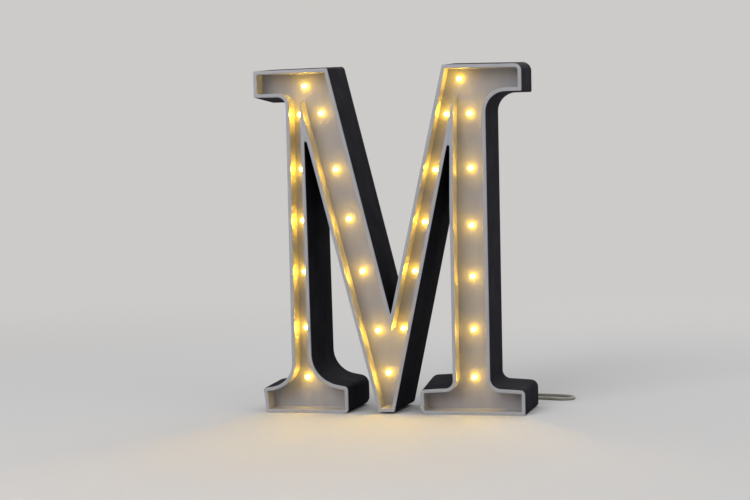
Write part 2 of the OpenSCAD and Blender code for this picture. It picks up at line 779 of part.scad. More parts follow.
module switch_housing() {
  color(DARK_PLASTIC)
    translate(switch_at)
      difference() {
        union() {
          translate([-bezel_w / 2, 0, -bezel_h / 2])
            cube([bezel_w, bezel_t, bezel_h]);
          translate([-switch_w / 2, -switch_d, -switch_body_h / 2])
            cube([switch_w, switch_d + bezel_t / 2, switch_body_h]);
        }
        translate([-well_w / 2, -well_d, -well_h / 2])
          cube([well_w, well_d + bezel_t + 1, well_h]);
        translate([0, -pivot_depth, 0])
          rotate([0, 90, 0])
            cylinder(d = pivot_d + 2 * pivot_fit, h = switch_w + 2, center = true);
      }
}

// Rocker with its two pivot pins, shown pressed in at the top, where the lamps are on
module switch_rocker() {
  rocker_end = rocker_rise + rocker_half * tan(rocker_tilt);
  skirt = rocker_rise / 2;
  keel = pivot_d + 0.6;
  color(DARK_PLASTIC)
    translate(switch_at - [0, pivot_depth, 0])
      rotate([rocker_tilt, 0, 0])
        union() {
          translate([-rocker_w / 2, 0, 0])
            rotate([90, 0, 90])
              linear_extrude(rocker_w)
                polygon([
                  [rocker_rise, 0], [rocker_end, rocker_half], [-skirt, rocker_half],
                  [-keel, keel], [-keel, -keel], [-skirt, -rocker_half], [rocker_end, -rocker_half]
                ]);
          rotate([0, 90, 0])
            cylinder(d = pivot_d, h = switch_w - switch_wall, center = true);
        }
}

module switch_blades() {
  color(COPPER_PART)
    translate(switch_at - [0, switch_d, 0])
      for (z = [-blade_off, blade_off])
        translate([-blade_w / 2, -blade_l, z - blade_t / 2])
          cube([blade_w, blade_l, blade_t]);
}

// Two wires from the terminal block to the sides of the blades
module switch_wires() {
  color(CORD_PVC)
    for (s = [-1, 1]) {
      start = terminal_at + [-terminal_l / 4 + s * wire_d, 0, terminal_h / 2];
      end = switch_at + [
        s * (blade_w / 2 + wire_d / 2 + 2 * glue_fit), -switch_d - blade_l / 2, s * blade_off
      ];
      straight_z = switch_h - blade_off - blade_t - 3 * wire_d;
      below = [end[0], end[1], straight_z];
      line = [
        start, start + [0, 0, wire_d], start + [0, 0, 2 * wire_d], start * 0.6 + below * 0.4,
        below - [0, 0, 2 * wire_d], below, below + [0, 0, wire_d], end
      ];
      tube(smooth(line, wire_steps), wire_d, wire_sides, [1, 0, 0]);
    }
}

module terminal_block() {
  color(PALE_PLASTIC)
    translate(terminal_at - [terminal_l, terminal_d, terminal_h] / 2)
      cube([terminal_l, terminal_d, terminal_h]);
}

module terminal_screws() {
  count = 4;
  color(ZINC)
    for (i = [0 : count - 1])
      translate(terminal_at + [(i - (count - 1) / 2) * terminal_l / count, -terminal_d / 2, 0])
        rotate([90, 0, 0])
          cylinder(d = terminal_screw_d, h = terminal_screw_d / 3);
}

// Strain relief moulded round the cord where it leaves the cover
module cord_relief() {
  tip_d = cord_d + 1.4;
  color(CORD_PVC)
    translate([relief_x, 0, cord_h])
      rotate([-90, 0, 0])
        rotate_extrude()
          polygon([
            [0, y_cover_in - relief_flange_t], [relief_flange_d / 2 - 1, y_cover_in - relief_flange_t],
            [relief_flange_d / 2 - 1, y_cover_in], [relief_neck_d / 2, y_cover_in],
            [relief_neck_d / 2, y_cover], [relief_flange_d / 2, y_cover],
            [relief_flange_d / 2, y_cover + relief_flange_t], [relief_d / 2, y_cover + relief_flange_t],
            [tip_d / 2, relief_end], [0, relief_end]
          ]);
}

// Cord inside the foot, from the strain relief round a bend and through its clamp to the
// terminal block
lead_stub = cord_d / 3;
lead_y = y_cover_in - relief_flange_t - lead_stub - lead_bend_r;
module inner_lead() {
  bend_at = [relief_x - lead_bend_r, lead_y + lead_bend_r, cord_h];
  bend_step = 15;
  line = concat(
    [[relief_x, y_cover_in - relief_flange_t, cord_h]],
    [for (a = [0 : bend_step : 90]) bend_at + lead_bend_r * [cos(a), -sin(a), 0]],
    [[clamp_x, lead_y, cord_h], [terminal_at[0] + terminal_l / 2, lead_y, cord_h]]
  );
  color(CORD_PVC) tube(line, cord_d, cord_sides, [0, 0, 1]);
}

module cord_clamp() {
  clamp_d = y_cover_in - glue_fit - lead_y + clamp_h / 2;
  color(PALE_PLASTIC)
    difference() {
      translate([clamp_x - clamp_w / 2, lead_y - clamp_h / 2, cord_h - clamp_h / 2])
        cube([clamp_w, clamp_d, clamp_h]);
      translate([clamp_x, lead_y, cord_h])
        rotate([0, 90, 0])
          cylinder(d = cord_d + 2 * glue_fit, h = clamp_w + 2, center = true);
    }
}

module cord_lead() {
  color(CORD_PVC) tube(smooth(lead_route, 2), cord_d, cord_sides, [0, 0, 1]);
}

module cord_tail() {
  color(CORD_PVC) tube(smooth(tail_route, 2), cord_d, cord_sides, [0, 0, 1]);
}

// Coil: spirals in on the table, climbs in the half turn where it reverses, and spirals out on
// top. Both ends run straight where they meet the rest of the cord.
coil_turns = 12;
coil_climb = 0.5;
coil_inner_r = coil_outer_r - coil_turns / 2 * coil_pitch;
coil_start = lead_route[len(lead_route) - 1] - [cord_d, 0, 0];
coil_end = tail_route[0] + [cord_d, 0, 0];
coil_at = coil_start - [0, coil_outer_r, 0];
coil_base = coil_start[2];
coil_rise = coil_end[2] - coil_start[2];
coil_sides = 6;
loop_rings = 24;
function coil_point(t) = let (
  reversed = t - coil_turns / 2,
  r = coil_inner_r + coil_pitch * abs(reversed),
  a = 90 + 360 * t,
  climb = min(max(reversed / coil_climb + 0.5, 0), 1)
) coil_at + [r * cos(a), r * sin(a), coil_rise * climb];
coil_line = concat(
  [coil_start + [cord_d, 0, 0]],
  [for (i = [0 : coil_turns * loop_rings]) coil_point(i / loop_rings)],
  [coil_end - [cord_d, 0, 0]]
);

module cord_coil() {
  color(CORD_PVC) tube(coil_line, cord_d, coil_sides, [0, 0, 1]);
}

// Least gap between turns, and the length of the cord
turn_away = loop_rings * 3 / 4;
coil_gap = min([
  for (i = [0 : len(coil_line) - 1]) for (j = [i + turn_away : 1 : len(coil_line) - 1])
    norm(coil_line[i] - coil_line[j])
]) - cord_d;
function steps_of(p) = [for (i = [1 : len(p) - 1]) norm(p[i] - p[i - 1])];
function line_length(p) = steps_of(p) * [for (s = steps_of(p)) 1];
echo(coil_gap = coil_gap);
echo(cord_length = line_length(smooth(lead_route, 2)) + line_length(coil_line)
  + line_length(smooth(tail_route, 2)));

// Tie round all the turns at one place
module coil_tie() {
  inner = coil_inner_r - cord_d / 2 - tie_fit;
  outer = coil_outer_r + cord_d / 2 + tie_fit;
  low = coil_base - cord_d / 2 - tie_fit;
  high = coil_base + coil_rise + cord_d / 2 + tie_fit;
  color(DARK_PLASTIC)
    translate([coil_at[0], coil_at[1] + tie_w / 2, 0])
      rotate([90, 0, 0])
        linear_extrude(tie_w)
          difference() {
            translate([-outer - tie_t, low - tie_t])
              square([outer - inner + 2 * tie_t, high - low + 2 * tie_t]);
            translate([-outer, low])
              square([outer - inner, high - low]);
          }
}

// Plug lying on the table: X runs from the cord to the metal shell
boot_at = tail_route[len(tail_route) - 1];
grip_at = boot_at + [boot_l, 0, 0];
shell_at = grip_at + [grip_l, 0, 0];

// Rectangle with round corners, its middle at the origin
function round_rect(w, h, r) = [
  for (q = [0 : 3]) for (k = [0 : arc_steps])
    let (a = 90 * q + 90 * k / arc_steps, sx = q == 0 || q == 3 ? 1 : -1, sy = q < 2 ? 1 : -1)
      [sx * (w / 2 - r) + r * cos(a), sy * (h / 2 - r) + r * sin(a)]
];

module plug_grip() {
  color(DARK_PLASTIC)
    translate(grip_at)
      rotate([90, 0, 90])
        linear_extrude(grip_l)
          polygon(round_rect(grip_w, grip_t, grip_r));
}

module plug_boot() {
  tip_d = cord_d + 1;
  color(DARK_PLASTIC)
    translate(boot_at)
      rotate([0, 90, 0])
        cylinder(d1 = tip_d, d2 = boot_d, h = boot_l);
}

module plug_shell() {
  color(ZINC)
    translate(shell_at)
      difference() {
        translate([0, -shell_w / 2, -shell_h / 2])
          cube([shell_l, shell_w, shell_h]);
        translate([-1, sheet_t - shell_w / 2, sheet_t - shell_h / 2])
          cube([shell_l + 2, shell_w - 2 * sheet_t, shell_h - 2 * sheet_t]);
      }
}

// Carrier under the shell's upper side, with its four contacts facing down
carrier_w = shell_w - 2 * sheet_t - 2 * carrier_fit;
carrier_l = shell_l - sheet_t;
carrier_low = shell_h / 2 - sheet_t - carrier_fit - carrier_t;
module plug_carrier() {
  color(PALE_PLASTIC)
    translate(shell_at + [0, -carrier_w / 2, carrier_low])
      cube([carrier_l, carrier_w, carrier_t]);
}

module plug_contacts() {
  count = 4;
  contact_l = carrier_l * 0.75;
  color(COPPER_PART)
    for (i = [0 : count - 1])
      translate(shell_at + [
        carrier_l - contact_l - 1,
        (i - (count - 1) / 2) * contact_gap - contact_w / 2,
        carrier_low - contact_t
      ])
        cube([contact_l, contact_w, contact_t]);
}

top_left_strip();
valley_left_strip();
valley_right_strip();
top_right_strip();
right_side_strip();
right_foot_strip();
right_gap_strip();
right_diagonal_strip();
vertex_strip();
left_diagonal_strip();
left_gap_strip();
left_foot_strip();
left_side_strip();
rim_liner();
face_panel();
back_cover();
glue_blocks();
cover_screws();
lamp_lenses();
lamp_sleeves();
left_stem_wire();
left_diagonal_wire();
right_diagonal_wire();
right_stem_wire();
terminal_block();
terminal_screws();
switch_housing();
switch_rocker();
switch_blades();
switch_wires();
cord_relief();
cord_clamp();
inner_lead();
cord_lead();
cord_coil();
cord_tail();
coil_tie();
plug_grip();
plug_boot();
plug_shell();
plug_carrier();
plug_contacts();
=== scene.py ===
"""Letter night light: a serif capital M, a black box with a white rim and lamps in its tray.

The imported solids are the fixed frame. The painted walls, the white rim, the cord and its fittings are
surfaces worked out here around them, and the pieces that are right as they are get their finishes.
X runs to the right, Y to the back and Z up. Sizes are in millimetres until a mesh is written.
"""

import logging
import math
from dataclasses import dataclass
from enum import Enum
from typing import Any, Optional, Sequence

import bmesh
import bpy
import numpy as np
from mathutils import Matrix, Vector

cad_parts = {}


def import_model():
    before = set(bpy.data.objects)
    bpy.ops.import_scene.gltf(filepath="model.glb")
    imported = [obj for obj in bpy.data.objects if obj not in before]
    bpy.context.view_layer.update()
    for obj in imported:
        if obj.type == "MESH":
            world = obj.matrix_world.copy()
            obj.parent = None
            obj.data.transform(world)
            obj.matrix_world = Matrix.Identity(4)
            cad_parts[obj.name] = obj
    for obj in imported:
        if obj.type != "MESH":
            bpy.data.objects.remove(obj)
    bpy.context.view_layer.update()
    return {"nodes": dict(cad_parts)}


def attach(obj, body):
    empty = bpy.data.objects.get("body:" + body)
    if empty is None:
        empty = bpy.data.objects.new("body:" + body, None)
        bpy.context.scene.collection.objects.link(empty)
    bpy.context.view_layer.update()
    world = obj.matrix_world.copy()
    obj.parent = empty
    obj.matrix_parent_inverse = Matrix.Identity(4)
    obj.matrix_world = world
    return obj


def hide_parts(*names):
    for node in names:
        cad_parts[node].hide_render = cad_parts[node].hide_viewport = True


Node = bpy.types.Node
Piece = bpy.types.Object
Socket = bpy.types.NodeSocket
Tree = bpy.types.NodeTree
Span = tuple[float, float]
Point = tuple[float, float, float]
Plain = tuple[tuple[str, float], ...]

LOG = logging.getLogger("night_light")
MM = 0.001
TURN = 2 * math.pi
# Points that are closer than this are one point
MERGE = 0.002
BODY = "lamp"
ROCKER_BODY = "rocker"
UP = np.array([0.0, 0.0, 1.0])
BACK = np.array([0.0, 1.0, 0.0])
# Exchanges X and Y
SWAP = [1, 0, 2]


# Meshes


@dataclass
class Surface:
    """A grid of points with the distance walked along both of its sides.

    The points are rows by columns by three. A side that closes on itself has one distance more than it
    has points, so that a pattern runs on without a jump.
    """

    points: np.ndarray
    along: np.ndarray
    across: np.ndarray
    closed_along: bool = False
    closed_across: bool = False
    capped: bool = False

    def faces(self) -> tuple[np.ndarray, np.ndarray]:
        """Joins each point with the next ones along and across, round the sides that close.

        Returns:
            The four corners of each face, as point numbers and as distances for the pattern.
        """
        rows, columns = self.points.shape[:2]
        i, j = np.meshgrid(
            np.arange(rows - (not self.closed_along)),
            np.arange(columns - (not self.closed_across)),
            indexing="ij",
        )
        i = np.stack([i, i + 1, i + 1, i], axis=-1).reshape(-1, 4)
        j = np.stack([j, j, j + 1, j + 1], axis=-1).reshape(-1, 4)
        numbers = (i % rows) * columns + j % columns
        return numbers, np.stack([self.along[i], self.across[j]], axis=-1)

    def caps(self) -> tuple[np.ndarray, np.ndarray]:
        """Takes the first and the last row as two flat faces.

        Returns:
            The corners of both, as point numbers and as distances for the pattern.
        """
        rows, columns = self.points.shape[:2]
        first = np.arange(columns)
        numbers = np.stack([first, first + (rows - 1) * columns])
        ends = np.repeat([[self.along[0]], [self.along[-1]]], columns, axis=1)
        return numbers, np.stack([ends, np.tile(self.across[:columns], (2, 1))], axis=-1)


def add_object(name: str, data: Any) -> Piece:
    """Puts new data into the scene as an object."""
    bpy.context.scene.collection.objects.link(made := bpy.data.objects.new(name, data))
    return made


def make_piece(
    name: str,
    surface: Surface,
    finish: "Finish",
    body: str = BODY,
    replaced: Sequence[str] = (),
    sharp: float = 38.0,
) -> Piece:
    """Makes a surface one closed mesh whose faces point outwards, and hangs it on a body.

    Args:
        name: The piece's name.
        surface: Its surface, in millimetres.
        finish: The finish that it gets.
        body: The body that it moves with.
        replaced: The solids that it stands for.
        sharp: Edges that turn by more degrees than this stay crisp.

    Returns:
        The new object.
    """
    parts = [surface.faces()] + ([surface.caps()] if surface.capped else [])
    faces = [corners for numbers, _ in parts for corners in numbers.tolist()]
    pattern = np.vstack([distances.reshape(-1, 2) for _, distances in parts])
    mesh = bpy.data.meshes.new(name)
    mesh.from_pydata((surface.points.reshape(-1, 3) * MM).tolist(), [], faces)
    layer = mesh.uv_layers.new(name="pattern")
    layer.data.foreach_set("uv", (pattern * MM).astype(np.float32).ravel())

    shape = bmesh.new()
    shape.from_mesh(mesh)
    bmesh.ops.remove_doubles(shape, verts=shape.verts, dist=MERGE * MM)
    bmesh.ops.recalc_face_normals(shape, faces=shape.faces)
    shape.to_mesh(mesh)
    shape.free()
    mesh.polygons.foreach_set("use_smooth", np.ones(len(mesh.polygons), dtype=bool))
    mesh.set_sharp_from_angle(angle=math.radians(sharp))
    mesh.materials.append(finish.material())

    piece = add_object(name, mesh)
    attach(piece, body)
    if replaced:
        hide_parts(*replaced)
    LOG.info("%s: %d faces, stands for %s", name, len(mesh.polygons), ", ".join(replaced) or "nothing")
    return piece


def walked(points: np.ndarray, closed: bool = False) -> np.ndarray:
    """Measures a line: the running sum of the straight steps between its points.

    Args:
        points: The line's points, one a row.
        closed: Whether the line comes back to its first point.

    Returns:
        The distance of each point from the first, with the closing point where there is one.
    """
    line = np.vstack([points, points[:1]]) if closed else points
    return np.concatenate([[0.0], np.cumsum(np.linalg.norm(np.diff(line, axis=0), axis=1))])


def around(count: int) -> np.ndarray:
    """Gives the angles of even steps round a circle."""
    return np.linspace(0, TURN, count, endpoint=False)


def squared(value: np.ndarray, power: float) -> np.ndarray:
    """Takes a power below 1 and keeps the sign, which draws a circle out towards a square."""
    return np.sign(value) * np.abs(value) ** power


def eased(value: np.ndarray) -> np.ndarray:
    """Runs from 0 to 1 with soft ends: three times the square less two times the cube."""
    value = np.clip(value, 0, 1)
    return value * value * (3 - 2 * value)


def grooved(part: np.ndarray, span: Span, count: int, power: int, shift: float = 0.0) -> np.ndarray:
    """Gives a row of soft grooves: an even power of the sine inside a span, and nothing outside it.

    Args:
        part: Place of each point, from 0 to 1.
        span: Where the row starts and ends.
        count: How many grooves it has.
        power: The power. A higher one gives narrower grooves.
        shift: The part of a groove that the row is moved by.

    Returns:
        How deep each point lies, from 0 to 1.
    """
    wave = np.sin(math.pi * (count * (part - span[0]) / (span[1] - span[0]) + shift)) ** power
    return np.where((part > span[0]) & (part < span[1]), wave, 0.0)


def arc(centre: Span, radius: float, start: float, end: float, steps: int = 5) -> np.ndarray:
    """Gives points on a circle: the centre plus the radius times the cosine and sine of each angle.

    Args:
        centre: The circle's middle.
        radius: Its radius.
        start: The first angle in degrees.
        end: The last angle in degrees.
        steps: How many steps lie between them.

    Returns:
        The points, one a row.
    """
    angle = np.radians(np.linspace(start, end, steps + 1))
    return np.asarray(centre) + radius * np.stack([np.cos(angle), np.sin(angle)], axis=1)


def swept(path: np.ndarray, section: np.ndarray, up: np.ndarray) -> Surface:
    """Carries a closed section along a path.

    Each point is the path's point plus the section's first number times the sideways direction, which is
    the heading crossed with up, and its second number times the direction square to both.

    Args:
        path: The path's points.
        section: The section's points.
        up: A direction that the path never takes.

    Returns:
        The closed tube with flat ends.
    """
    heading = np.gradient(path, axis=0)
    heading /= np.linalg.norm(heading, axis=1, keepdims=True)
    side = np.cross(heading, up)
    side /= np.linalg.norm(side, axis=1, keepdims=True)
    rise = np.cross(side, heading)
    points = path[:, None] + section[:, :1] * side[:, None] + section[:, 1:] * rise[:, None]
    return Surface(points, walked(path), walked(section, True), closed_across=True, capped=True)


def stacked(
    depth: np.ndarray, half_x: np.ndarray, half_z: np.ndarray, sides: int, power: float = 1.0
) -> Surface:
    """Stacks superellipses along Y: signed powers of a turn's cosine and sine, times each half size.

    Args:
        depth: Place of each section.
        half_x: Half the size of each section along X.
        half_z: Half the size of each section along Z.
        sides: How many steps one turn has.
        power: 1 for an ellipse, and less for a squarer shape.

    Returns:
        The surface about the axis, closed where its ends have no size.
    """
    turn = around(sides)
    x = half_x[:, None] * squared(np.cos(turn), power)
    z = half_z[:, None] * squared(np.sin(turn), power)
    points = np.stack([x, depth[:, None] + 0 * turn, z], axis=-1)
    girth = np.linspace(0, TURN * half_x.max(), sides + 1)
    return Surface(points, walked(np.stack([half_x, depth], axis=1)), girth, closed_across=True)


# Finishes


def linear(colour: str) -> tuple[float, float, float, float]:
    """Turns an sRGB hex colour to linear light, by the standard's curve and its straight foot.

    Args:
        colour: The colour as #rrggbb.

    Returns:
        Red, green and blue in linear light, and full cover.
    """
    value = np.array([int(colour[i : i + 2], 16) for i in (1, 3, 5)]) / 255
    value = np.where(value <= 0.04045, value / 12.92, ((value + 0.055) / 1.055) ** 2.4)
    return (*value.tolist(), 1.0)


def add_node(tree: Tree, kind: str, inputs: Optional[dict[Any, Any]] = None, **settings: Any) -> Node:
    """Adds a node, sets it up and feeds its sockets.

    Args:
        tree: The node tree.
        kind: The node's type.
        inputs: Values, or the output sockets to link, by socket name or number.
        **settings: The node's own settings.

    Returns:
        The new node.
    """
    node = tree.nodes.new(kind)
    for name, value in settings.items():
        setattr(node, name, value)
    for name, value in (inputs or {}).items():
        if isinstance(value, Socket):
            tree.links.new(value, node.inputs[name])
        else:
            node.inputs[name].default_value = value
    return node


class Place(Enum):
    """Where a pattern takes its place from."""

    OBJECT = "Object"
    SURFACE = "UV"


@dataclass(frozen=True)
class Pattern:
    """Noise from 0 to 1: the size of its features along each axis, and how many finer layers it has."""

    sizes: Point
    detail: float = 2.0
    place: Place = Place.OBJECT
    bend: Plain = ()

    def inputs(self, tree: Tree) -> dict[str, Any]:
        """Works out what feeds the texture, with coordinates that count in features.

        Args:
            tree: The node tree.

        Returns:
            The texture's inputs.
        """
        source = add_node(tree, "ShaderNodeTexCoord").outputs[self.place.value]
        scale = tuple(1 / (MM * size) for size in self.sizes)
        spot = add_node(tree, "ShaderNodeMapping", {"Vector": source, "Scale": scale}).outputs[0]
        return {"Vector": spot, "Scale": 1.0, "Detail": self.detail, **dict(self.bend)}

    def draw(self, tree: Tree) -> Socket:
        """Draws the noise and gives its height."""
        return add_node(tree, "ShaderNodeTexNoise", self.inputs(tree)).outputs["Fac"]


@dataclass(frozen=True)
class Weave(Pattern):
    """Threads that cross: wavering ridges along the surface times ridges across it."""

    bend: Plain = (("Distortion", 0.6),)

    def draw(self, tree: Tree) -> Socket:
        """Draws both sets of ridges and multiplies them.

        Args:
            tree: The node tree.

        Returns:
            The weave's height.
        """
        waves = (
            add_node(tree, "ShaderNodeTexWave", self.inputs(tree), bands_direction=way) for way in "XY"
        )
        ridges = {place: wave.outputs["Fac"] for place, wave in enumerate(waves)}
        return add_node(tree, "ShaderNodeMath", ridges, operation="MULTIPLY").outputs[0]


@dataclass(frozen=True)
class YearRings(Pattern):
    """The rings of sawn wood: straight bands that a noise bends."""

    bend: Plain = (("Distortion", 3.0), ("Detail Scale", 1.5))

    def draw(self, tree: Tree) -> Socket:
        """Draws the bent bands."""
        wave = add_node(tree, "ShaderNodeTexWave", self.inputs(tree), bands_direction="DIAGONAL")
        return wave.outputs["Fac"]


@dataclass(frozen=True)
class Finish:
    """What all finishes share: a name, two close tones, and patterns for tone, gloss and relief.

    The colour goes from the first tone to the second while the tone's pattern goes through tone_at. The
    gloss's pattern spreads the roughness over gloss_at, and the relief's pattern is depth high. The
    shader's other sockets are plain values.
    """

    name: str
    colour: str
    second: str
    tone: Pattern = Pattern((9.0, 9.0, 9.0))
    tone_at: Span = (0.3, 0.7)
    gloss: Optional[Pattern] = None
    gloss_at: Span = (0.4, 0.5)
    relief: Optional[Pattern] = None
    depth: float = 0.03
    plain: Plain = ()
    # Noise seldom leaves these two values
    noise_ends: Span = (0.25, 0.75)

    def patterns(self) -> tuple[Optional[Pattern], ...]:
        """Gives the patterns of tone, gloss and relief."""
        return self.tone, self.gloss, self.relief

    def sockets(self, tree: Tree) -> dict[str, Any]:
        """Gives the shader's other sockets."""
        return dict(self.plain)

    def material(self) -> bpy.types.Material:
        """Builds the material on first use.

        Returns:
            The finish as a material.
        """
        made = bpy.data.materials.get(self.name)
        if made is None:
            made = bpy.data.materials.new(self.name)
            made.use_nodes = True
            made.node_tree.nodes.clear()
            made.diffuse_color = linear(self.colour)
            shader = self.shade(made.node_tree)
            add_node(made.node_tree, "ShaderNodeOutputMaterial", {"Surface": shader.outputs[0]})
        return made

    def tones(self, tree: Tree, factor: Socket, ends: Span) -> Socket:
        """Goes from the first tone to the second as a factor goes from one end to the other.

        Args:
            tree: The node tree.
            factor: What drives the change.
            ends: The factor at both tones.

        Returns:
            The colour.
        """
        ramp = add_node(tree, "ShaderNodeValToRGB", {"Fac": factor})
        for stop, end, tone in zip(ramp.color_ramp.elements, ends, (self.colour, self.second)):
            stop.position, stop.color = end, linear(tone)
        return ramp.outputs[0]

    def painted(self, tree: Tree, tone: Socket) -> Socket:
        """Gives the colour that the tone's pattern drives."""
        return self.tones(tree, tone, self.tone_at)

    def shade(self, tree: Tree) -> Node:
        """Builds the shader, whose tone, roughness and relief follow their patterns.

        Args:
            tree: The node tree.

        Returns:
            The shader's last node.
        """
        patterns = self.patterns()
        drawn = {pattern: pattern.draw(tree) for pattern in dict.fromkeys(patterns) if pattern}
        tone, gloss, relief = (drawn.get(pattern) for pattern in patterns)
        sockets = {"Base Color": self.painted(tree, tone), **self.sockets(tree)}
        if gloss is not None:
            (low, high), (smooth, dull) = self.noise_ends, self.gloss_at
            spread = {"Value": gloss, 1: low, 2: high, 3: smooth, 4: dull}
            sockets["Roughness"] = add_node(tree, "ShaderNodeMapRange", spread).outputs[0]
        if relief is not None:
            height = {"Height": relief, "Distance": self.depth * MM}
            sockets["Normal"] = add_node(tree, "ShaderNodeBump", height).outputs[0]
        return add_node(tree, "ShaderNodeBsdfPrincipled", sockets)


@dataclass(frozen=True)
class BrushedPaint(Finish):
    """Emulsion brushed by hand along the board: matte, with faint long streaks and low furrows."""

    # The bristles' lines are finer in truth, and drawn as coarse as they need to show
    tone: Pattern = Pattern((45.0, 1.6, 1.6), 4.0, Place.SURFACE)
    tone_at: Span = (0.36, 0.72)
    gloss: Pattern = Pattern((26.0, 26.0, 26.0))
    gloss_at: Span = (0.62, 0.78)
    depth: float = 0.25
    plain: Plain = (("Specular IOR Level", 0.025), ("IOR", 1.48))

    def patterns(self) -> tuple[Optional[Pattern], ...]:
        """The bristles' streaks set the tone and the furrows, and soft clouds the gloss."""
        return self.tone, self.gloss, self.tone


@dataclass(frozen=True)
class RimWhite(BrushedPaint):
    """White emulsion on the rim and the tray's walls, with the sides' black lapped over its edge."""

    tone: Pattern = Pattern((30.0, 1.2, 1.2), 4.0, Place.SURFACE)
    tone_at: Span = (0.3, 0.75)
    gloss: Pattern = Pattern((18.0, 18.0, 18.0), 3.0)
    gloss_at: Span = (0.3, 0.42)
    depth: float = 0.12
    plain: Plain = (("IOR", 1.5),)
    wobble: Pattern = Pattern((7.0, 400.0, 7.0), 2.0, Place.SURFACE)
    black: str = "#1d1c21"
    lap: float = 1.15
    wander: float = 0.55
    blur: float = 0.12

    def painted(self, tree: Tree, tone: Socket) -> Socket:
        """Lays a black edge, which wanders with a slow noise, over the white.

        Args:
            tree: The node tree.
            tone: The pattern of the white.

        Returns:
            The colour.
        """
        spot = add_node(tree, "ShaderNodeTexCoord").outputs[Place.SURFACE.value]
        across = add_node(tree, "ShaderNodeSeparateXYZ", {0: spot}).outputs["Y"]
        moved = {0: self.wobble.draw(tree), 1: -self.wander * MM, 2: across}
        shifted = add_node(tree, "ShaderNodeMath", moved, operation="MULTIPLY_ADD").outputs[0]
        start = (self.lap - self.wander / 2) * MM
        ends = {"Value": shifted, 1: start, 2: start + self.blur * MM}
        edge = add_node(tree, "ShaderNodeMapRange", ends).outputs[0]
        paints = {0: edge, 6: linear(self.black), 7: super().painted(tree, tone)}
        return add_node(tree, "ShaderNodeMix", paints, data_type="RGBA").outputs[2]


@dataclass(frozen=True)
class TrayWhite(Finish):
    """White emulsion rolled on the tray's floor: matte, with upright streaks and a fine stipple."""

    tone: Pattern = Pattern((14.0, 14.0, 60.0), 3.0)
    tone_at: Span = (0.3, 0.72)
    gloss: Pattern = Pattern((14.0, 14.0, 60.0), 3.0)
    gloss_at: Span = (0.5, 0.64)
    # A roller's dimples, drawn as coarse as they need to show
    relief: Pattern = Pattern((1.1, 1.1, 1.1))
    depth: float = 0.1
    plain: Plain = (("IOR", 1.5),)


@dataclass(frozen=True)
class LampEpoxy(Finish):
    """Warm lamp in slightly cloudy epoxy: lit, its tip is a bright point that colours the tray."""

    tone: Pattern = Pattern((1.5, 1.5, 1.5), 1.0)
    tone_at: Span = (0.0, 0.3)
    plain: Plain = (("Roughness", 0.12), ("IOR", 1.54), ("Emission Strength", 500.0))
    foot: float = -18.8
    tip: float = -19.4

    def sockets(self, tree: Tree) -> dict[str, Any]:
        """Adds warm light, which grows from a dark amber at the lens's foot to a bright tip.

        Args:
            tree: The node tree.

        Returns:
            The plain sockets and the light's colour.
        """
        spot = add_node(tree, "ShaderNodeTexCoord").outputs[Place.OBJECT.value]
        depth = add_node(tree, "ShaderNodeSeparateXYZ", {0: spot}).outputs["Y"]
        ends = {"Value": depth, 1: self.foot * MM, 2: self.tip * MM}
        forward = add_node(tree, "ShaderNodeMapRange", ends).outputs[0]
        return {**super().sockets(tree), "Emission Color": self.tones(tree, forward, (0.0, 1.0))}


@dataclass(frozen=True)
class Moulded(Finish):
    """Moulded plastic: an even colour, a fine spark-eroded grain and a gloss that varies a little."""

    gloss_at: Span = (0.38, 0.52)
    # The mould's grain is finer in truth, and drawn as coarse as it needs to show
    grain: float = 0.6
    ior: float = 1.5
    clearness: float = 0.0
    glow: float = 0.4

    def patterns(self) -> tuple[Optional[Pattern], ...]:
        """Clouds set the tone, and the mould's grain gloss and relief."""
        grain = Pattern((self.grain,) * 3)
        return self.tone, grain, grain

    def sockets(self, tree: Tree) -> dict[str, Any]:
        """Light goes a little way into the plastic."""
        return {"IOR": self.ior, "Subsurface Weight": self.clearness, "Subsurface Scale": self.glow * MM}


@dataclass(frozen=True)
class CordPvc(Finish):
    """Soft PVC drawn over the cord's strands: smooth and cloudy, with faint drag lines along it."""

    tone: Pattern = Pattern((25.0, 3.0, 3.0), 2.0, Place.SURFACE)
    # The drag lines are finer in truth, and drawn as coarse as they need to show
    gloss: Pattern = Pattern((60.0, 0.5, 0.5), 2.0, Place.SURFACE)
    gloss_at: Span = (0.34, 0.46)
    relief: Pattern = Pattern((60.0, 0.5, 0.5), 2.0, Place.SURFACE)
    plain: Plain = (("IOR", 1.53), ("Subsurface Weight", 0.15), ("Subsurface Scale", 0.5 * MM))


@dataclass(frozen=True)
class WovenStrap(Finish):
    """Woven nylon strap: dull threads that cross, with a low ridge for every pass of the weft."""

    thread: float = 0.5
    tone_at: Span = (0.1, 0.8)
    depth: float = 0.12
    plain: Plain = (("Roughness", 0.78), ("Sheen Weight", 0.25), ("Sheen Roughness", 0.4))

    def patterns(self) -> tuple[Optional[Pattern], ...]:
        """The weave sets tone and relief."""
        weave = Weave((self.thread * TURN,) * 3, 1.0, Place.SURFACE)
        return weave, None, weave


@dataclass(frozen=True)
class PlatedMetal(Finish):
    """Thin plating on steel or brass: bright, with fine drawing lines and a slightly uneven gloss."""

    # The drawing lines are finer in truth, and drawn as coarse as they need to show
    tone: Pattern = Pattern((14.0, 0.25, 0.25), 3.0)
    gloss_at: Span = (0.22, 0.38)
    depth: float = 0.02
    plain: Plain = (("Metallic", 1.0),)

    def patterns(self) -> tuple[Optional[Pattern], ...]:
        """The drawing lines set tone, gloss and relief."""
        return (self.tone,) * 3


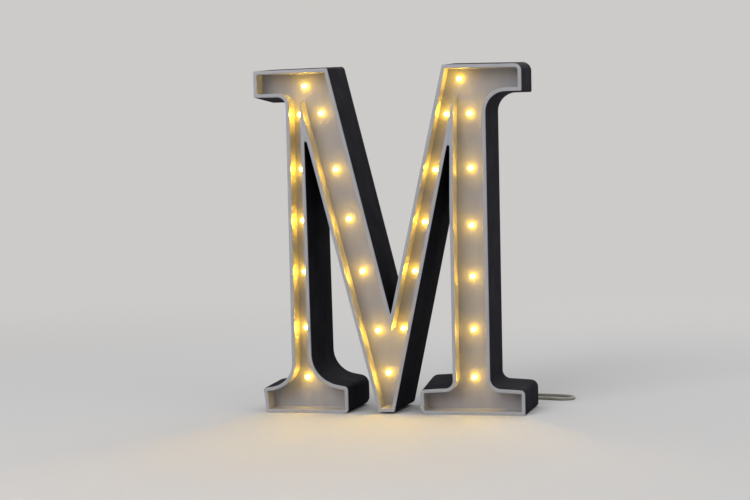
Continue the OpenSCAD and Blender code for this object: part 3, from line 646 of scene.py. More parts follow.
@dataclass(frozen=True)
class RawPine(Finish):
    """Planed softwood: pale with darker rings that run along the block, and dry to the touch."""

    ring: float = 2.2
    ring_l: float = 60.0
    tone_at: Span = (0.2, 0.9)
    depth: float = 0.06
    plain: Plain = (("Roughness", 0.66), ("IOR", 1.5))

    def patterns(self) -> tuple[Optional[Pattern], ...]:
        """The year rings set tone and relief."""
        rings = YearRings((self.ring * TURN, self.ring_l, self.ring * TURN))
        return rings, None, rings


# A hand-painted board: bluish black, where bristles left slightly greyer lines
BLACK_TONES = ("#19181f", "#25232b")
SIDE_BLACK = BrushedPaint("black_emulsion_brushed", *BLACK_TONES)
COVER_BLACK = BrushedPaint("black_emulsion_cover", *BLACK_TONES, Pattern((1.8, 1.8, 40.0), 4.0))
# White paint of the rim and tray, written as cool greys: painted shade of the dim, cool daylight on
# white
RIM_WHITE = RimWhite("white_emulsion_rim", "#929296", "#a0a0a4")
TRAY_WHITE = TrayWhite("white_emulsion_tray", "#8b8a8e", "#969599")
# The lens's sides glow a dark amber, and its tip a warm yellow
LAMP_LIGHT = LampEpoxy("lamp_epoxy_lit", "#433305", "#ffcc30")
# Switch, plug and sleeves: black or pale plastic with the grain of its mould
SWITCH_BLACK = Moulded("black_nylon_moulded", "#131315", "#1b1b1e")
PLUG_BLACK = Moulded(
    "black_pvc_moulded", "#171718", "#202022", gloss_at=(0.45, 0.6), depth=0.05, grain=0.8, ior=1.53
)
PALE_NYLON = Moulded(
    "pale_nylon_moulded", "#d3d0c4", "#dedbd1", gloss_at=(0.4, 0.55), grain=0.7, ior=1.53, clearness=0.2
)
# Thin clear insulation, through which the copper gives a straw tone
CLEAR_WIRE = Moulded(
    "clear_pvc_wire", "#b9b49a", "#cfccb8", gloss_at=(0.2, 0.3), depth=0.02, grain=0.9, ior=1.53,
    clearness=0.35,
)
MARK_INK = Moulded("white_pad_ink", "#dedede", "#efefed", gloss_at=(0.5, 0.6), depth=0.01, grain=0.4)
# Warm grey cord, with a dull black strap round its coil
CORD_GREY = CordPvc("grey_pvc_drawn", "#878679", "#969588")
TIE_NYLON = WovenStrap("black_nylon_woven", "#0e0e10", "#2b2b2e")
# Bright metal in small amounts, and the bare wood inside the box
SCREW_ZINC = PlatedMetal("zinc_plated_steel", "#b4b6b9", "#c9cbcd", Pattern((0.5, 6.0, 0.5), 3.0))
SHELL_NICKEL = PlatedMetal("nickel_plated_steel", "#b9bab8", "#cccdcb")
CONTACT_BRASS = PlatedMetal("brass_plated", "#b98d4e", "#d0a765")
BLOCK_PINE = RawPine("pine_planed", "#c79f6c", "#a97c4a")


def dress(node: Piece, finish: Finish, ease: float = 0.0, corner: float = 35.0, steps: int = 2) -> None:
    """Gives a solid its finish, and eases its edges where it is asked to.

    Args:
        node: The solid.
        finish: The finish.
        ease: Width of the eased edges in millimetres, or none.
        corner: Edges that turn by more degrees than this are eased.
        steps: How many faces an eased edge has.
    """
    node.data.materials.clear()
    node.data.materials.append(finish.material())
    if ease:
        weld = node.modifiers.new("weld", "WELD")
        weld.merge_threshold = MERGE * MM
        bevel = node.modifiers.new("ease", "BEVEL")
        bevel.width, bevel.segments, bevel.limit_method = ease * MM, steps, "ANGLE"
        bevel.angle_limit = math.radians(corner)
        bevel.harden_normals = False
    LOG.info("%s: dressed in %s", node.name, finish.name)


# Outline of the letter


class Inset(Enum):
    """What a corner's radius does when the outline moves in or out."""

    PARALLEL = "the curves stay parallel"
    MITRE = "an inset sharpens the corner"


@dataclass(frozen=True)
class Corner:
    """A corner of the front outline, with the lean of the side after it and what an inset does to it."""

    name: str
    x: float
    z: float
    radius: float
    lean: float = 2.4
    inset: Inset = Inset.PARALLEL


UPRIGHT = 0.0
CROWN_LEAN = 3.8
FOOT_LEAN = 4.0
GAP_LEAN = 6.6
END_LEAN = 0.8
LETTER_CORNERS = (
    Corner("serif_tl", -137.5, 350, 1.2, CROWN_LEAN),
    Corner("apex_l", -60, 351, 1.2),
    Corner("valley", 0.5, 100.5, 0.5, inset=Inset.MITRE),
    Corner("apex_r", 58, 351, 1.2, CROWN_LEAN),
    Corner("serif_tr", 137.5, 350, 7, END_LEAN),
    Corner("serif_tr_low", 137.5, 323, 1.2, UPRIGHT),
    Corner("bracket_tr", 101, 323, 20),
    Corner("bracket_br", 101, 27, 11),
    Corner("foot_r_top", 136, 25, 4.5, FOOT_LEAN),
    Corner("foot_r_base", 136, 0, 1.2, UPRIGHT),
    Corner("foot_r_base_in", 29.5, 0, 6.5),
    Corner("foot_r_top_in", 29.5, 25, 4.5, GAP_LEAN),
    Corner("bracket_br_in", 63, 27, 8),
    Corner("knee_r", 63, 210, 60),
    Corner("gap_r", 64.5, 284, 1.5, GAP_LEAN, Inset.MITRE),
    Corner("vertex_r", 2.5, 2, 1.2, UPRIGHT),
    Corner("vertex_l", -14, 2, 1.2),
    Corner("gap_l", -85.5, 288, 1.5, GAP_LEAN, Inset.MITRE),
    Corner("bracket_bl_in", -83, 34, 32, FOOT_LEAN),
    Corner("foot_l_top_in", -45.5, 27, 4.5, GAP_LEAN),
    Corner("foot_l_base_in", -45.5, 0, 4.5, UPRIGHT),
    Corner("foot_l_base", -132, 0, 1.2, END_LEAN),
    Corner("foot_l_top", -135, 25, 1.2, END_LEAN),
    Corner("bracket_bl", -104, 30.5, 25),
    Corner("bracket_tl", -104, 323, 9, FOOT_LEAN),
    Corner("serif_tl_low", -137.5, 323, 1.2),
)


@dataclass(frozen=True)
class Outline:
    """The letter's front outline, clockwise from its top left corner, which can move in and out."""

    corners: tuple[Corner, ...] = LETTER_CORNERS
    arc_steps: int = 12
    edge_step: float = 6.0
    least_radius: float = 0.06

    def arcs(self, grow: float, part: float = 0.0) -> np.ndarray:
        """Rounds the corners after the outline has moved outward.

        The two sides at a corner move outward, by an even step and a part of their lean, and the corner
        goes to where they meet. An arc that touches both sides replaces it. Points are complex numbers,
        X plus i times Z, so that a turn is a product.

        Args:
            grow: How far all of the outline moves outward.
            part: The part of each side's lean that is added, 0 at the front and 1 at the back.

        Returns:
            Corners by arc points by two.
        """
        place = np.array([complex(c.x, c.z) for c in self.corners])
        radius = np.array([c.radius for c in self.corners])
        mitred = np.array([c.inset is Inset.MITRE for c in self.corners])
        shift = grow + part * np.array([c.lean for c in self.corners])
        ahead = np.roll(place, -1) - place
        ahead /= np.abs(ahead)
        behind, shift_behind = np.roll(ahead, 1), np.roll(shift, 1)
        turn = np.angle(ahead / behind)
        moved = place + (shift_behind * ahead - shift * behind) / np.sin(turn)
        step = (shift + shift_behind) / 2
        change = np.where(mitred, min(grow, 0.0), np.where(turn < 0, step, -step))
        r = np.maximum(self.least_radius, radius + change)
        start = moved - behind * r * np.tan(np.abs(turn) / 2)
        arm = 1j * behind * np.where(turn < 0, r, -r)
        spin = np.exp(1j * turn[:, None] * np.linspace(0, 1, self.arc_steps + 1))
        points = (start - arm)[:, None] + arm[:, None] * spin
        return np.stack([points.real, points.imag], axis=-1)

    def edge_counts(self) -> np.ndarray:
        """Divides the straight edges between the front's arcs into even steps.

        Returns:
            The number of steps on the edge after each corner.
        """
        arcs = self.arcs(0.0)
        length = np.linalg.norm(np.roll(arcs[:, 0], -1, axis=0) - arcs[:, -1], axis=1)
        return np.maximum(1, np.ceil(length / self.edge_step)).astype(int)

    def ring(self, grow: float, part: float = 0.0) -> np.ndarray:
        """Moves the outline outward: each corner's arc, then even steps along its straight side.

        Args:
            grow: How far all of the outline moves outward.
            part: The part of each side's lean that is added.

        Returns:
            The closed line's points, as many for every amount.
        """
        arcs = self.arcs(grow, part)
        after = np.roll(arcs[:, 0], -1, axis=0)
        parts = [
            np.vstack([bend, bend[-1] + (end - bend[-1]) * np.linspace(0, 1, count + 1)[1:-1, None]])
            for bend, end, count in zip(arcs, after, self.edge_counts())
        ]
        return np.vstack(parts)

    def stations(self, start: str, end: str) -> np.ndarray:
        """Finds the points from the middle of one corner to the middle of a later one.

        Args:
            start: The first corner's name.
            end: The last corner's name.

        Returns:
            The points' numbers, in order.
        """
        names = [c.name for c in self.corners]
        first = np.concatenate([[0], np.cumsum(self.arc_steps + self.edge_counts())])
        total = first[-1]
        low, high = (first[names.index(name)] + self.arc_steps // 2 for name in (start, end))
        return np.arange(low, high + (total if high < low else 0) + 1) % total

    def loft(self, profile: np.ndarray, stations: Optional[np.ndarray] = None) -> Surface:
        """Carries a closed profile round the outline.

        Each profile point moves the outline outward by its first number and by that part of the lean
        that its third number gives, at the depth of its second.

        Args:
            profile: Outward move, depth and part of the lean of each point.
            stations: The points of the outline to use, in order, or all of them.

        Returns:
            The closed ring, or a length of it with flat ends.
        """
        whole = stations is None
        rings = np.stack([self.ring(grow, part) for grow, _, part in profile], axis=1)
        front = self.ring(0.0)
        along = walked(front, True)
        if not whole:
            along = along[stations[0]] + walked(front[stations])
            rings = rings[stations]
        depth = np.broadcast_to(profile[:, 1], rings.shape[:2])
        points = np.stack([rings[..., 0], depth, rings[..., 1]], axis=-1)
        return Surface(points, along, walked(profile[:, :2], True), whole, True, capped=not whole)


# The letter's box


@dataclass
class LetterBox:
    """The painted walls, the white rim and tray, the back cover and what holds them.

    The strips run round the letter. Each starts at the corner that is named with it, and ends where the
    next one starts.
    """

    nodes: dict[str, Piece]
    outline: Outline = Outline()
    front: float = -34.0
    strip_front: float = -32.5
    back: float = 34.0
    panel: float = -14.0
    strip: float = 2.2
    rim: float = 3.6
    lining: float = 2.3
    ease: float = 0.8
    rim_ease: float = 0.5
    inner_ease: float = 0.3
    cove: float = 0.5
    groove: float = 0.3
    grooves: tuple[float, ...] = (-28.0, -21.5)
    groove_w: float = 3.0
    wall_steps: int = 9
    lining_steps: int = 60
    strips: tuple[tuple[str, str], ...] = (
        ("top_left", "bracket_tl"),
        ("valley_left", "apex_l"),
        ("valley_right", "valley"),
        ("top_right", "apex_r"),
        ("right_side", "bracket_tr"),
        ("right_foot", "bracket_br"),
        ("right_gap", "bracket_br_in"),
        ("right_diagonal", "gap_r"),
        ("vertex", "vertex_r"),
        ("left_diagonal", "vertex_l"),
        ("left_gap", "gap_l"),
        ("left_foot", "bracket_bl_in"),
        ("left_side", "bracket_bl"),
    )

    def wall_profile(self) -> np.ndarray:
        """Draws a strip's section: straight and leaning outside, eased at the back, straight inside.

        Returns:
            Outward move, depth and part of the lean of each point.
        """
        depth = np.linspace(self.strip_front, self.back - self.ease, self.wall_steps)
        part = (depth - self.strip_front) / (self.back - self.strip_front)
        half = self.ease / 2
        lines = (
            (np.stack([0 * depth, depth], axis=1), part),
            (arc((-self.ease, self.back - self.ease), self.ease, 0, 90)[1:], 1.0),
            (arc((half - self.strip, self.back - half), half, 90, 180), 0.0),
            (np.array([[-self.strip, self.panel], [-self.strip, self.strip_front]]), 0.0),
        )
        return np.vstack(
            [np.column_stack([line, np.broadcast_to(lean, len(line))]) for line, lean in lines]
        )

    def rim_profile(self) -> np.ndarray:
        """Draws the rim's section: eased edges in front, a wall with two shallow grooves, and a cove.

        A groove is half a wave of the cosine, which takes the wall outward by its depth.

        Returns:
            Outward move, depth and no lean of each point.
        """
        inner = self.inner_ease
        depth = np.linspace(self.front + inner, self.panel - self.cove, self.lining_steps)
        away = np.abs(depth[:, None] - np.array(self.grooves)) / self.groove_w
        hollow = np.where(away < 0.5, 0.5 + 0.5 * np.cos(TURN * away), 0).sum(axis=1)
        line = np.vstack(
            [
                [[0.0, self.strip_front]],
                arc((-self.rim_ease, self.front + self.rim_ease), self.rim_ease, 0, -90),
                arc((inner - self.rim, self.front + inner), inner, -90, -180, 7)[:-1],
                np.stack([self.groove * hollow - self.rim, depth], axis=1),
                arc((-self.rim - self.cove, self.panel - self.cove), self.cove, 0, 90)[1:],
                [[-self.lining, self.panel], [-self.lining, self.strip_front]],
            ]
        )
        return np.column_stack([line, np.zeros(len(line))])

    def build(self) -> None:
        """Makes the walls and the rim, and dresses the boards, blocks and screws."""
        profile = self.wall_profile()
        for (name, start), (_, end) in zip(self.strips, self.strips[1:] + self.strips[:1]):
            wall = self.outline.loft(profile, self.outline.stations(start, end))
            make_piece(f"{name}_wall", wall, SIDE_BLACK, replaced=[f"{name}_strip"])
        rim = self.outline.loft(self.rim_profile())
        make_piece("white_rim", rim, RIM_WHITE, replaced=["rim_liner"])
        dress(self.nodes["face_panel"], TRAY_WHITE)
        dress(self.nodes["back_cover"], COVER_BLACK, ease=0.5)
        dress(self.nodes["glue_blocks"], BLOCK_PINE, ease=0.4)
        dress(self.nodes["cover_screws"], SCREW_ZINC, ease=0.15)


# Lamps and what is inside


@dataclass
class LampString:
    """The lamps in the tray, with their sleeves and wires behind it."""

    nodes: dict[str, Piece]
    strokes: tuple[str, ...] = ("left_stem", "left_diagonal", "right_diagonal", "right_stem")

    def build(self) -> None:
        """Lights the lenses and dresses the sleeves and the wires."""
        dress(self.nodes["lamp_lenses"], LAMP_LIGHT)
        dress(self.nodes["lamp_sleeves"], PALE_NYLON, ease=0.3)
        for stroke in self.strokes:
            dress(self.nodes[f"{stroke}_wire"], CLEAR_WIRE)


@dataclass
class Switch:
    """The rocker switch in the cover, its marks and its wiring."""

    nodes: dict[str, Piece]
    pivot: Point = (82.0, 27.0, 62.0)
    rise: float = 2.4
    tilt: float = 10.0
    mark_at: float = 4.3
    ink: float = 0.05
    line_w: float = 0.26
    line_steps: int = 10
    ring_r: float = 1.35
    ring_steps: int = 48
    bar_l: float = 1.7
    bar_rows: int = 9
    bar_sides: int = 32
    bar_power: float = 0.5

    def on_rocker(self, points: np.ndarray, half: float) -> np.ndarray:
        """Puts a mark on one half of the rocker as it rests.

        A mark lies in X and Z with its thickness along Y. It is tipped with its half's slope, moved out
        to the half's middle, and turned with the rocker about its pivot.

        Args:
            points: The mark's points, about its middle.
            half: 1 for the upper half and -1 for the lower.

        Returns:
            The points in place.
        """
        tilt = math.radians(self.tilt)
        slope, rest = (np.array(Matrix.Rotation(angle, 3, "X")) for angle in (-tilt * half, tilt))
        out = self.rise + self.mark_at * math.tan(tilt)
        local = points @ slope.T + np.array([0.0, out, half * self.mark_at])
        return local @ rest.T + np.array(self.pivot)

    def ring_mark(self) -> Surface:
        """Makes the off mark, a flat torus: a circle's radius plus a small ellipse's cosine and sine.

        Returns:
            The closed surface.
        """
        turn, bend = around(self.ring_steps)[:, None], around(self.line_steps)
        radius = self.ring_r + self.line_w * np.cos(bend)
        flat = self.ink * np.sin(bend) + 0 * turn
        points = np.stack([radius * np.cos(turn), flat, radius * np.sin(turn)], axis=-1)
        along = np.linspace(0, TURN * self.ring_r, self.ring_steps + 1)
        across = np.linspace(0, TURN * self.line_w, self.line_steps + 1)
        return Surface(self.on_rocker(points, -1), along, across, True, True)

    def bar_mark(self) -> Surface:
        """Makes the on mark, a superellipsoid: signed roots of cosines and sines, scaled to a flat bar.

        Returns:
            The closed surface.
        """
        lift, power = np.linspace(-np.pi / 2, np.pi / 2, self.bar_rows), self.bar_power
        level = squared(np.cos(lift), power)
        depth = self.ink * squared(np.sin(lift), power)
        bar = stacked(depth, self.line_w * level, self.bar_l * level, self.bar_sides, power)
        bar.points = self.on_rocker(bar.points, 1)
        return bar

    def build(self) -> None:
        """Dresses the switch and its wiring, and prints its two marks."""
        dress(self.nodes["switch_housing"], SWITCH_BLACK, ease=0.5)
        dress(self.nodes["switch_rocker"], SWITCH_BLACK, ease=0.35)
        dress(self.nodes["switch_blades"], CONTACT_BRASS, ease=0.1)
        dress(self.nodes["switch_wires"], CORD_GREY)
        dress(self.nodes["terminal_block"], PALE_NYLON, ease=0.6)
        dress(self.nodes["terminal_screws"], SCREW_ZINC, ease=0.2)
        make_piece("off_mark", self.ring_mark(), MARK_INK, ROCKER_BODY)
        make_piece("on_mark", self.bar_mark(), MARK_INK, ROCKER_BODY)


# Cord and plug


@dataclass
class Cord:
    """The thin lead: out of the back of the right foot, along the floor, into its coil and to its plug.

    The points of its lead and tail are counted in X from the hole in the cover.
    """

    nodes: dict[str, Piece]
    diameter: float = 3.0
    hole_x: float = 112.0
    step: float = 1.6
    sides: int = 14
    curve_steps: int = 8
    path_stride: int = 4
    turns: int = 12
    turn_steps: int = 64
    outer_r: float = 27.5
    pitch: float = 3.5
    climb: float = 0.5
    lead: tuple[Point, ...] = (
        (0, 42, 13), (0, 45, 13), (0, 48.5, 13), (0.2, 54, 12.2), (1, 60, 10), (2.8, 66, 6.8),
        (6, 71.5, 3.8), (11, 76, 2), (17.5, 78.5, 1.6), (25, 79, 1.6), (33, 77.5, 1.6), (41, 75, 1.6),
        (48, 74, 1.6), (54, 76, 1.6), (58, 81, 1.6), (58.5, 87, 1.6), (55.5, 93, 1.6), (49, 97.5, 1.6),
        (40, 100.5, 1.6), (30, 102.5, 1.6), (19, 104, 1.6), (8, 105, 1.6), (-3, 105, 1.8),
        (-14, 105, 2.4), (-23, 105, 2.7), (-27, 105, 2.7), (-31, 105, 2.7), (-34, 105, 2.7),
    )
    tail: tuple[Point, ...] = (
        (-34, 105, 6.2), (-37, 105, 6.2), (-39, 105, 6.2), (-41, 105, 6.2), (-46, 105.1, 5.7),
        (-52, 106, 4.5), (-57.5, 108.2, 3.1), (-61.8, 112.2, 2), (-63.5, 117.5, 1.6), (-62.7, 123, 1.9),
        (-59.3, 127.4, 2.8), (-54, 129.7, 3.7), (-50, 130, 4), (-48, 130, 4), (-46, 130, 4),
    )

    def smooth(self, points: Sequence[Point]) -> np.ndarray:
        """Draws the cubic line through points whose slope at each is half the step past its neighbours.

        Args:
            points: The points.

        Returns:
            The line's points, in place.
        """
        p = np.array(points, dtype=float) + np.array([self.hole_x, 0.0, 0.0])
        padded = np.vstack([p[:1], p, p[-1:]])
        a, b, c, d = (padded[k : len(padded) - 3 + k, None] for k in range(4))
        t = np.linspace(0, 1, self.curve_steps, endpoint=False)[:, None]
        line = (
            2 * b + (c - a) * t + (2 * a - 5 * b + 4 * c - d) * t**2 + (3 * b - a - 3 * c + d) * t**3
        ) / 2
        return np.vstack([line.reshape(-1, 3), p[-1:]])

    def coil(self) -> np.ndarray:
        """Winds the coil: the radius shrinks evenly to the middle turn and grows again, a layer higher.

        Returns:
            The coil's points.
        """
        turn = np.linspace(0, self.turns, self.turns * self.turn_steps + 1)[1:-1]
        past = turn - self.turns / 2
        radius = self.outer_r - self.turns / 2 * self.pitch + self.pitch * np.abs(past)
        angle = np.pi / 2 + TURN * turn
        (x, y, base), top = self.lead[-1], self.tail[0][2]
        x = self.hole_x + x + radius * np.cos(angle)
        y = y - self.outer_r + radius * np.sin(angle)
        return np.stack([x, y, base + (top - base) * eased(past / self.climb + 0.5)], axis=1)

    def route(self) -> np.ndarray:
        """Joins lead, coil and tail, and divides the whole cord into even steps.

        Returns:
            The cord's points, from its exit to its plug.
        """
        line = np.vstack([self.smooth(self.lead), self.coil(), self.smooth(self.tail)])
        at = walked(line)
        even = np.linspace(0, at[-1], int(at[-1] / self.step) + 1)
        return np.stack([np.interp(even, at, line[:, k]) for k in range(3)], axis=1)

    def build(self, pieces: Sequence[Piece]) -> None:
        """Makes the cord, and dresses the lead inside and the cord's clamp.

        Args:
            pieces: The plug, the tie and the strain relief that sit on it. Not used.
        """
        route = self.route()
        turn = around(self.sides)
        section = self.diameter / 2 * np.stack([np.cos(turn), np.sin(turn)], axis=1)
        solids = ["cord_lead", "cord_coil", "cord_tail"]
        cord = make_piece(
            "cord", swept(route, section, UP), CORD_GREY, replaced=solids, sharp=60.0
        )
        dress(self.nodes["inner_lead"], CORD_GREY)
        dress(self.nodes["cord_clamp"], PALE_NYLON, ease=0.5)


@dataclass
class CordFittings:
    """What sits on the cord: its strain relief, the tie round its coil, and its plug.

    A pair of sizes is the first and the last along the piece. The tie's inside is given as left, right,
    low and high, counted in X from the coil's middle.
    """

    nodes: dict[str, Piece]
    relief_at: Point = (112.0, 0.0, 13.0)
    relief_sides: int = 40
    relief_end: float = 42.0
    relief_steps: int = 90
    cover: Span = (24.0, 28.0)
    cord_r: float = 1.5
    neck_r: float = 3.9
    flange_r: Span = (4.5, 5.5)
    flange_t: float = 1.5
    flange_bevel: float = 0.3
    flange_ease: float = 0.5
    flange_foot: float = 0.2
    taper_r: Span = (3.6, 2.2)
    taper_rings: int = 5
    taper_span: Span = (0.1, 0.9)
    taper_groove: float = 0.5
    coil_at: Span = (78.0, 77.5)
    tie_w: float = 5.0
    tie_t: float = 0.8
    tie_edge: float = 0.25
    tie_in: tuple[float, float, float, float] = (-29.35, -4.65, 0.85, 8.05)
    tie_bend: float = 1.85
    tie_start: float = 0.4
    lap: Span = (-2.0, 9.0)
    lap_rise: float = 4.0
    lap_gap: float = 0.04
    start_steps: int = 7
    bend_steps: int = 6
    lap_steps: int = 13
    plug_sides: int = 56
    boot_at: Point = (66.0, 130.0, 4.0)
    boot_l: float = 10.0
    boot_r: Span = (2.0, 3.2)
    boot_rings: int = 4
    boot_span: Span = (0.08, 0.92)
    boot_groove: float = 0.4
    boot_steps: int = 60
    grip_l: float = 30.0
    grip_w: float = 15.7
    grip_t: float = 8.0
    grip_ease: float = 1.6
    grip_power: float = 0.36
    grip_ribs: int = 6
    grip_span: Span = (0.14, 0.62)
    grip_groove: float = 0.35
    grip_side: float = 0.5
    grip_steps: int = 120

    def relief(self) -> Surface:
        """Makes the strain relief: two flanges on a neck, then a taper with ring grooves.

        A groove takes the taper in by the fourth power of a cosine, so that its edges are soft.

        Returns:
            The closed surface.
        """
        inside, outside = self.cover
        inner, outer = self.flange_r
        depth = np.linspace(outside + self.flange_t, self.relief_end, self.relief_steps)
        part = (depth - depth[0]) / (depth[-1] - depth[0])
        groove = self.taper_groove * grooved(part, self.taper_span, self.taper_rings, power=4, shift=0.5)
        taper = self.taper_r[0] + (self.taper_r[1] - self.taper_r[0]) * part - groove
        start, bevel, ease = inside - self.flange_t, self.flange_bevel, self.flange_ease
        profile = np.vstack(
            [
                [[0.0, start], [inner - bevel, start], [inner, start + bevel]],
                [[inner, inside], [self.neck_r, inside], [self.neck_r, outside]],
                [[outer - self.flange_foot, outside]],
                arc((outer - ease, outside + ease), ease, -60, 0, 3),
                arc((outer - ease, outside + self.flange_t - ease), ease, 0, 90, 4),
                np.stack([taper, depth], axis=1),
                [[self.cord_r, self.relief_end], [0.0, self.relief_end]],
            ]
        )
        radius, depth = profile.T
        made = stacked(depth, radius, radius, self.relief_sides)
        made.points += np.array(self.relief_at)
        return made

    def tie(self) -> Surface:
        """Makes the tie: a flat strap carried round the turns, its end lapped over its start.

        Returns:
            The closed strap.
        """
        x, y = self.coil_at
        radius, t, w, edge = self.tie_bend, self.tie_t / 2, self.tie_w / 2, self.tie_edge
        inward = np.array([x + radius, x - radius, radius, -radius])
        left, right, low, high = np.array(self.tie_in) + inward
        bend, middle = radius + t, (left + right) / 2
        start_x = np.linspace(middle + self.tie_start, right, self.start_steps, endpoint=False)
        lap = np.linspace(0, 1, self.lap_steps + 1)
        lap_x = middle + self.lap[0] + (self.lap[1] - self.lap[0]) * lap
        lift = (self.tie_t + self.lap_gap) * eased(self.lap_rise * lap)
        rounds = ((right, high, 90), (right, low, 0), (left, low, -90), (left, high, 180))
        line = np.vstack(
            [
                np.stack([start_x, np.full(len(start_x), high + bend)], axis=1),
                *(arc((u, v), bend, angle, angle - 90, self.bend_steps) for u, v, angle in rounds),
                np.stack([lap_x, high + bend + lift], axis=1),
            ]
        )
        path = np.stack([line[:, 0], np.full(len(line), y), line[:, 1]], axis=1)
        side = [(-t / 2, w), (t / 2, w), (t, w - edge), (t, edge - w)]
        section = np.array(side + [(-rise, -over) for rise, over in side])
        return swept(path, section, BACK)

    def along_plug(self, x: np.ndarray, half_y: np.ndarray, half_z: np.ndarray, power: float) -> Surface:
        """Stacks sections along X, from the end of the plug's sleeve.

        Args:
            x: Place of each section.
            half_y: Half the width of each section.
            half_z: Half the thickness of each section.
            power: 1 for an ellipse, and less for a squarer shape.

        Returns:
            The closed surface.
        """
        made = stacked(x, half_y, half_z, self.plug_sides, power)
        made.points = made.points[..., SWAP] + np.array(self.boot_at)
        return made

    def grip(self) -> Surface:
        """Makes the plug's grip: a squarish bar with quarter-round ends and finger grooves across it.

        Returns:
            The closed surface.
        """
        part = np.linspace(0, 1, self.grip_steps)
        x = np.pad(self.boot_l + self.grip_l * part, 1, "edge")
        end = np.clip(np.minimum(part, 1 - part) * self.grip_l / self.grip_ease, 0, 1)
        ease = self.grip_ease * (1 - np.sqrt(1 - (1 - end) ** 2))
        groove = self.grip_groove * grooved(part, self.grip_span, self.grip_ribs, power=2)
        half_y = np.pad(self.grip_w / 2 - ease - self.grip_side * groove, 1)
        return self.along_plug(x, half_y, np.pad(self.grip_t / 2 - ease - groove, 1), self.grip_power)

    def boot(self) -> Surface:
        """Makes the sleeve behind the grip: a round taper with ring grooves.

        Returns:
            The closed surface.
        """
        part = np.linspace(0, 1, self.boot_steps)
        groove = self.boot_groove * grooved(part, self.boot_span, self.boot_rings, power=4)
        radius = np.pad(self.boot_r[0] + (self.boot_r[1] - self.boot_r[0]) * part - groove, 1)
        return self.along_plug(self.boot_l * np.pad(part, 1, "edge"), radius, radius, 1.0)

    def build(self) -> list[Piece]:
        """Makes and dresses the fittings.

        Returns:
            The pieces that sit on the cord.
        """
        made = [
            make_piece("strain_relief", self.relief(), CORD_GREY, replaced=["cord_relief"]),
            make_piece("strap_tie", self.tie(), TIE_NYLON, replaced=["coil_tie"]),
            make_piece("plug_body", self.grip(), PLUG_BLACK, replaced=["plug_grip"]),
            make_piece("plug_sleeve", self.boot(), PLUG_BLACK, replaced=["plug_boot"]),
        ]
        dress(self.nodes["plug_shell"], SHELL_NICKEL)
        dress(self.nodes["plug_carrier"], PALE_NYLON, ease=0.1)
        dress(self.nodes["plug_contacts"], CONTACT_BRASS)
        return made + [self.nodes[name] for name in ("plug_shell", "plug_carrier", "plug_contacts")]


# Studio


@dataclass(frozen=True)
class Camera:
    """The camera at the photograph's angle, with the nearest and furthest distance that it sees."""

    place: Point = (395.19, -1816.78, 278.48)
    forward: Point = (-0.2233201, 0.97283753, -0.06095307)
    up: Point = (0.0077495, 0.06430232, 0.99790037)
    lens: float = 87.14
    sensor: float = 36.0
    near: float = 50.0
    far: float = 50000.0

    def build(self) -> None:
        """Sets up the camera from its place, its viewing direction and its up direction."""
        data = bpy.data.cameras.new("camera")
        data.lens, data.sensor_width, data.sensor_fit = self.lens, self.sensor, "HORIZONTAL"
        data.clip_start, data.clip_end = self.near * MM, self.far * MM
        back, up = -Vector(self.forward), Vector(self.up)
        turn = Matrix([up.cross(back), up, back]).transposed().to_4x4()
        camera = add_object("camera", data)
        camera.matrix_world = Matrix.Translation(Vector(self.place) * MM) @ turn
        bpy.context.scene.camera = camera
        LOG.info("camera: lens %.1f mm", self.lens)


@dataclass(frozen=True)
class FloorPaint(Finish):
    """Seamless pale paper: matte, and gone into the background a good way from the object."""

    tone: Pattern = Pattern((0.8, 0.8, 0.8))
    plain: Plain = (("Roughness", 0.9), ("Specular IOR Level", 0.2))
    near: float = 500.0
    far: float = 1500.0

    def shade(self, tree: Tree) -> Node:
        """Fades from paper to clear with the distance from the middle.

        Args:
            tree: The node tree.

        Returns:
            The shader's last node.
        """
        spot = add_node(tree, "ShaderNodeTexCoord").outputs[Place.OBJECT.value]
        away = add_node(tree, "ShaderNodeVectorMath", {0: spot}, operation="LENGTH").outputs["Value"]
        ends = {"Value": away, 1: self.near * MM, 2: self.far * MM}
        fade = add_node(tree, "ShaderNodeMapRange", ends, interpolation_type="SMOOTHSTEP").outputs[0]
        clear = add_node(tree, "ShaderNodeBsdfTransparent").outputs[0]
        paper = super().shade(tree).outputs[0]
        return add_node(tree, "ShaderNodeMixShader", {0: fade, 1: paper, 2: clear})


@dataclass(frozen=True)
class SoftBox:
    """A square soft light: its place, its side and its power."""

    name: str
    place: Point
    side: float
    power: float
    target: Point = (0.0, 0.0, 160.0)

    def build(self) -> None:
        """Hangs the light and points it at its target."""
        data = bpy.data.lights.new(self.name, "AREA")
        data.shape, data.size, data.energy = "SQUARE", self.side * MM, self.power
        away = Vector(self.place) - Vector(self.target)
        turn = away.to_track_quat("Z", "Y").to_matrix().to_4x4()
        light = add_object(self.name, data)
        light.matrix_world = Matrix.Translation(Vector(self.place) * MM) @ turn


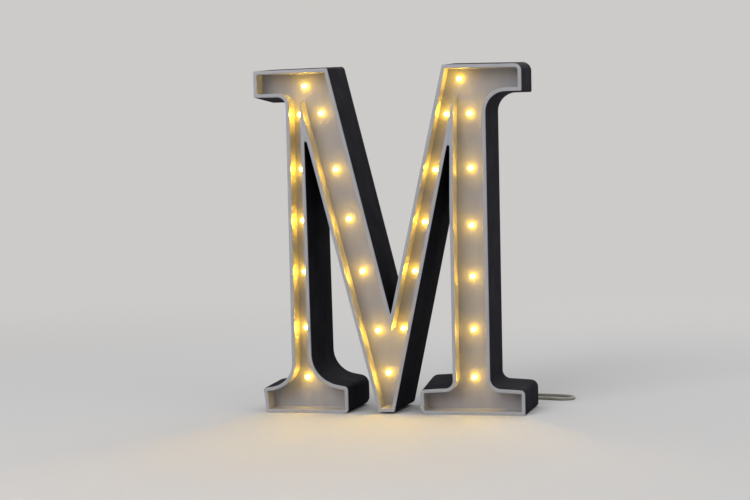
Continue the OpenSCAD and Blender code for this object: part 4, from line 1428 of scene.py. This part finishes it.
@dataclass(frozen=True)
class Studio:
    """The floor, the background and the soft lights."""

    floor: FloorPaint = FloorPaint("pale_paper", "#cac8c6", "#d1cfcd")
    floor_side: float = 4000.0
    background: str = "#cdcbc9"
    sky: str = "#f2f4f8"
    sky_strength: float = 0.62
    lights: tuple[SoftBox, ...] = (
        SoftBox("key", (-900.0, -2200.0, 1500.0), 1600.0, 36.0),
        SoftBox("fill", (1700.0, -900.0, 1200.0), 1500.0, 3.0),
        SoftBox("back", (300.0, 1800.0, 1500.0), 1500.0, 14.0),
    )

    def build(self) -> None:
        """Lays the floor, hangs the lights and sets the background."""
        half = self.floor_side / 2 * MM
        mesh = bpy.data.meshes.new("floor")
        corners = [(-half, -half, 0), (half, -half, 0), (half, half, 0), (-half, half, 0)]
        mesh.from_pydata(corners, [], [range(len(corners))])
        mesh.materials.append(self.floor.material())
        add_object("floor", mesh)
        for light in self.lights:
            light.build()
        self.world()
        bpy.context.scene.view_settings.view_transform = "Standard"
        LOG.info("studio: %d soft lights", len(self.lights))

    def world(self) -> None:
        """Shows a pale tone to the camera and in reflections, and lights the object with another."""
        world = bpy.data.worlds.new("studio")
        world.use_nodes = True
        tree = world.node_tree
        tree.nodes.clear()
        path = add_node(tree, "ShaderNodeLightPath")
        seen = path.outputs["Is Camera Ray"]
        for ray in ("Is Glossy Ray", "Is Transmission Ray"):
            rays = {0: seen, 1: path.outputs[ray]}
            seen = add_node(tree, "ShaderNodeMath", rays, operation="MAXIMUM").outputs[0]
        sky, shown = (
            add_node(tree, "ShaderNodeBackground", {"Color": linear(tone), "Strength": power}).outputs[0]
            for tone, power in ((self.sky, self.sky_strength), (self.background, 1.0))
        )
        mixed = add_node(tree, "ShaderNodeMixShader", {0: seen, 1: sky, 2: shown}).outputs[0]
        add_node(tree, "ShaderNodeOutputWorld", {"Surface": mixed})
        bpy.context.scene.world = world


def main() -> None:
    """Builds the night light round its frame."""
    logging.basicConfig(level=logging.INFO, format="%(name)s: %(message)s")
    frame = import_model()
    nodes = frame["nodes"]
    Camera().build()
    Cord(nodes).build(CordFittings(nodes).build())
    LetterBox(nodes).build()
    LampString(nodes).build()
    Switch(nodes).build()
    Studio().build()


if __name__ == "__main__":
    main()
